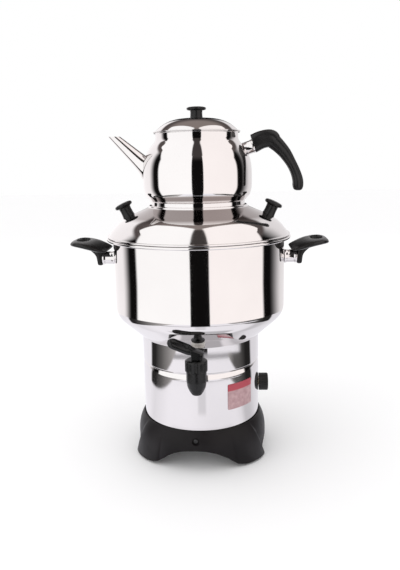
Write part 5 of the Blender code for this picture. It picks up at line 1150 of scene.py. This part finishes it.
def wall_glow(degrees, height):
    """What stands at an azimuth from the camera and a height round the object."""
    away = abs(degrees)
    side = side_of(degrees)
    spread = max(0.0, height - BOX_SHOULDER) * SIDE_EDGE_SPREAD
    fade = ease(away, *GAP_EDGE) * (1.0 - ease(away - spread, *SIDE_EDGE[side]))
    around = mixed(DARK, OVERHEAD_DARK, ease(height, BOX_SHOULDER, ROOM_TOP))
    if away > SIDE_EDGE[side][0]:
        sweep = ease(away, *BACK_EDGE[side]) * (1.0 - ease(away, *REAR_EDGE))
        around = mixed(DARK, Vector(SWEEP) * BACK_SHARE[side], sweep)
        around = mixed(around, CEILING_EDGE, ease(height, *SWEEP_TOP))
    return mixed(around, BOX[side], fade)


def ceiling_glow(x, y):
    """Two wide boxes overhead with a gap between them that opens to the back."""
    half = OVERHEAD_GAP + (y * OVERHEAD_GAP_BACK if y > 0.0 else -y * OVERHEAD_GAP_FRONT)
    inside = ease(abs(x) - half, *OVERHEAD_SOFT) * (1.0 - ease(y, *OVERHEAD_BACK))
    brown = mixed(CEILING, CEILING_EDGE, ease(hypot(x, y), *CEILING_FADE))
    around = mixed(OVERHEAD_DARK, brown, ease(y, *OVERHEAD_FRONT))
    return mixed(around, BOX[side_of(x)], inside)


# The white table. A zone begins and ends over two spans of radius, and at the sides over a span of degrees.
TABLE_LIFT = 0.002
TABLE_START = 0.102
TABLE_END = (0.64, 0.66)
TABLE = (1.08, 1.07, 1.13)
TABLE_LEVELS = (
    (-180, 0.90), (-110, 0.95), (-93, 0.85), (-60, 1), (-20, 1), (15, 0.945), (60, 0.945),
    (70, 0.87), (80, 0.63), (92, 0.63), (112, 0.80), (180, 0.85),
)
FROM_HERE = (-1, 0)
TO_THE_WALL = (2, 3)
GAP_START = (0.462, 0.472)
# Painted shade on the table: the object's own shadow close in front of it, a soft darker strip straight in
# front, and a dimmer ring inside the dark gap; each keeps the given share of the glow
PAINTED_SHADE_ZONES = (
    (0.57, (FROM_HERE, (0.165, 0.215), (44, 55))), (0.79, ((0.25, 0.28), TO_THE_WALL, (4, 9))),
    (0.40, ((0.436, 0.444), GAP_START, (57, 64))),
)
WINDOW = (1.0, 0.97, 0.96)
WINDOW_START = (0.335, 0.352)
WINDOW_FRONT = (22, 27)
WINDOW_BACK = (103, 109)
WINDOW_LEVELS = {
    "left": ((27, 0.78), (38, 0.68), (50, 0.45), (63, 0.28), (77, 0.13), (93, 0.025)),
    "right": ((16, 0.45), (38, 0.39), (50, 0.39), (62, 0.13), (75, 0.10), (90, 0.02)),
}
PATCH = ((0.462, 0.470), (0.508, 0.525), (70, 82))


def level(value, steps):
    """A number between the steps (place, number) of a row."""
    for (low, first), (high, last) in zip(steps, steps[1:]):
        if value < high:
            return first + (last - first) * max(0.0, (value - low) / (high - low))
    return steps[-1][1]


def zone(radius, away, start, end, edge):
    return ease(radius, *start) * (1.0 - ease(radius, *end)) * (1.0 - ease(away, *edge))


def table_glow(degrees, radius):
    """The white table round the object, dark beside it where the light boxes' stands are, with painted shade:
    the object's shadow near it and a soft darker strip in front of it.
    """
    away = abs(degrees)
    glow = Vector(TABLE) * level(degrees, TABLE_LEVELS)
    # darken the table with the painted shade zones
    for share, spans in PAINTED_SHADE_ZONES:
        glow *= 1.0 - (1.0 - share) * zone(radius, away, *spans)
    aside = radius * abs(sin(radians(degrees)))
    window = ease(aside, *WINDOW_START) * ease(away, *WINDOW_FRONT) * (1.0 - ease(away, *WINDOW_BACK))
    if degrees > 0.0:
        window *= 1.0 - zone(radius, away, *PATCH)
    glow = mixed(glow, Vector(WINDOW) * level(away, WINDOW_LEVELS[side_of(degrees)]), window)
    glow = mixed(glow, DARK, zone(radius, away, GAP_START, TO_THE_WALL, GAP_EDGE))
    return mixed(glow, wall_glow(degrees, 0.0), ease(radius, *TABLE_END))


def room_card(name, material, rows, place_of):
    """A card of rings; place_of(share, degrees) gives a radius, a height and a glow."""
    points = []
    glows = []
    faces = []
    for row in range(rows + 1):
        for column in range(ROOM_COLUMNS + 1):
            degrees = 360.0 * column / ROOM_COLUMNS - 180.0
            radius, height, glow = place_of(row / rows, degrees)
            points.append(outward(CAMERA_TURN + radians(degrees)) * radius + AXIS * height)
            glows += [*glow, 1.0]
            if row < rows and column < ROOM_COLUMNS:
                first = row * (ROOM_COLUMNS + 1) + column
                second = first + ROOM_COLUMNS + 1
                faces.append((first, first + 1, second + 1, second))
    mesh = bpy.data.meshes.new(name)
    mesh.from_pydata(points, [], faces)
    layer = mesh.color_attributes.new("glow", "FLOAT_COLOR", "POINT")
    layer.data.foreach_set("color", glows)
    mesh.materials.append(material)
    card = linked(name, mesh)
    put(card, visible_camera=False, visible_diffuse=False, visible_shadow=False, visible_transmission=False)


def make_room():
    """Light panels and dark gaps round the object, boxes overhead and the white table."""
    shining = Finish("room_card", (0.0, 0.0, 0.0), 1.0)
    glow = shining.node("Attribute", "Color", {}, attribute_name="glow")
    light = shining.node("Emission", "Emission", {"Color": glow, "Strength": 1.0})
    shining.feed(shining.tree.nodes["Material Output"].inputs["Surface"], light)

    def wall(share, degrees):
        return ROOM_RADIUS, share * ROOM_TOP, wall_glow(degrees, share * ROOM_TOP)

    def table(share, degrees):
        radius = TABLE_START + (ROOM_RADIUS - TABLE_START) * share
        return radius, TABLE_LIFT, table_glow(degrees, radius)

    def ceiling(share, degrees):
        place = outward(radians(degrees)) * ROOM_RADIUS * share
        return ROOM_RADIUS * share, ROOM_TOP, ceiling_glow(place.x, place.y)

    room_card("room_wall", shining.made, WALL_ROWS, wall)
    room_card("room_floor", shining.made, TABLE_ROWS, table)
    room_card("room_ceiling", shining.made, CEILING_ROWS, ceiling)


# Studio: name, place, size and power of the lamps

FLOOR_SPAN = 14.0
FLOOR_PAPER = ((0.93, 0.925, 0.93), 0.85, 0.0, 0.1)
LAMPS = (
    ("left_light", (-1.5, -1.2, 1.1), 1.4, 5.0),
    ("right_light", (1.5, -1.2, 1.1), 1.4, 2.5),
    ("rear_light", (0.0, 1.8, 1.3), 1.6, 2.0),
)
LAMP_AIM = Vector((0.0, 0.0, 0.2))
SKY_PLACE = (-0.5, -0.5, 1.9)
SKY_ANGLE = radians(80.0)
SKY_POWER = 0.75
WORLD_LIGHT = 0.85
WORLD_IN_PICTURE = 1.0


def place_light(name, kind, place, power):
    """Aim a light at the object, and keep its shape out of the steel and the picture."""
    light = linked(name, bpy.data.lights.new(name, kind))
    light.data.energy = power
    light.matrix_world = along(Vector(place) - LAMP_AIM, place)
    put(light, visible_glossy=False, visible_camera=False)
    return light.data


def make_stage():
    shape = bmesh.new()
    bmesh.ops.create_grid(shape, x_segments=2, y_segments=2, size=FLOOR_SPAN / 2.0)
    floor = object_of(shape, "floor")
    floor.data.materials.append(Finish("floor_paper", *FLOOR_PAPER).made)
    for name, place, size, power in LAMPS:
        place_light(name, "AREA", place, power).size = size
    place_light("top_light", "SUN", SKY_PLACE, SKY_POWER).angle = SKY_ANGLE
    world = bpy.data.worlds.new("studio")
    bpy.context.scene.world = world
    world.use_nodes = True
    tree = world.node_tree
    background = tree.nodes["Background"]
    background.inputs["Color"].default_value = (1.0, 1.0, 1.0, 1.0)
    path = tree.nodes.new("ShaderNodeLightPath")
    strength = tree.nodes.new("ShaderNodeMapRange")
    strength.inputs["To Min"].default_value = WORLD_LIGHT
    strength.inputs["To Max"].default_value = WORLD_IN_PICTURE
    tree.links.new(path.outputs["Is Camera Ray"], strength.inputs["Value"])
    tree.links.new(strength.outputs["Result"], background.inputs["Strength"])
    bpy.context.scene.view_settings.view_transform = "Standard"


def main():
    for make in (make_camera, make_base, make_gland, make_pot, make_pot_lid, make_lid_knobs,
                 make_side_handles, make_tap, make_lever, make_dial, make_label, make_teapot_body, make_spout,
                 make_teapot_handle, make_teapot_lid, dress_nodes, make_stage, make_room):
        make()


main()
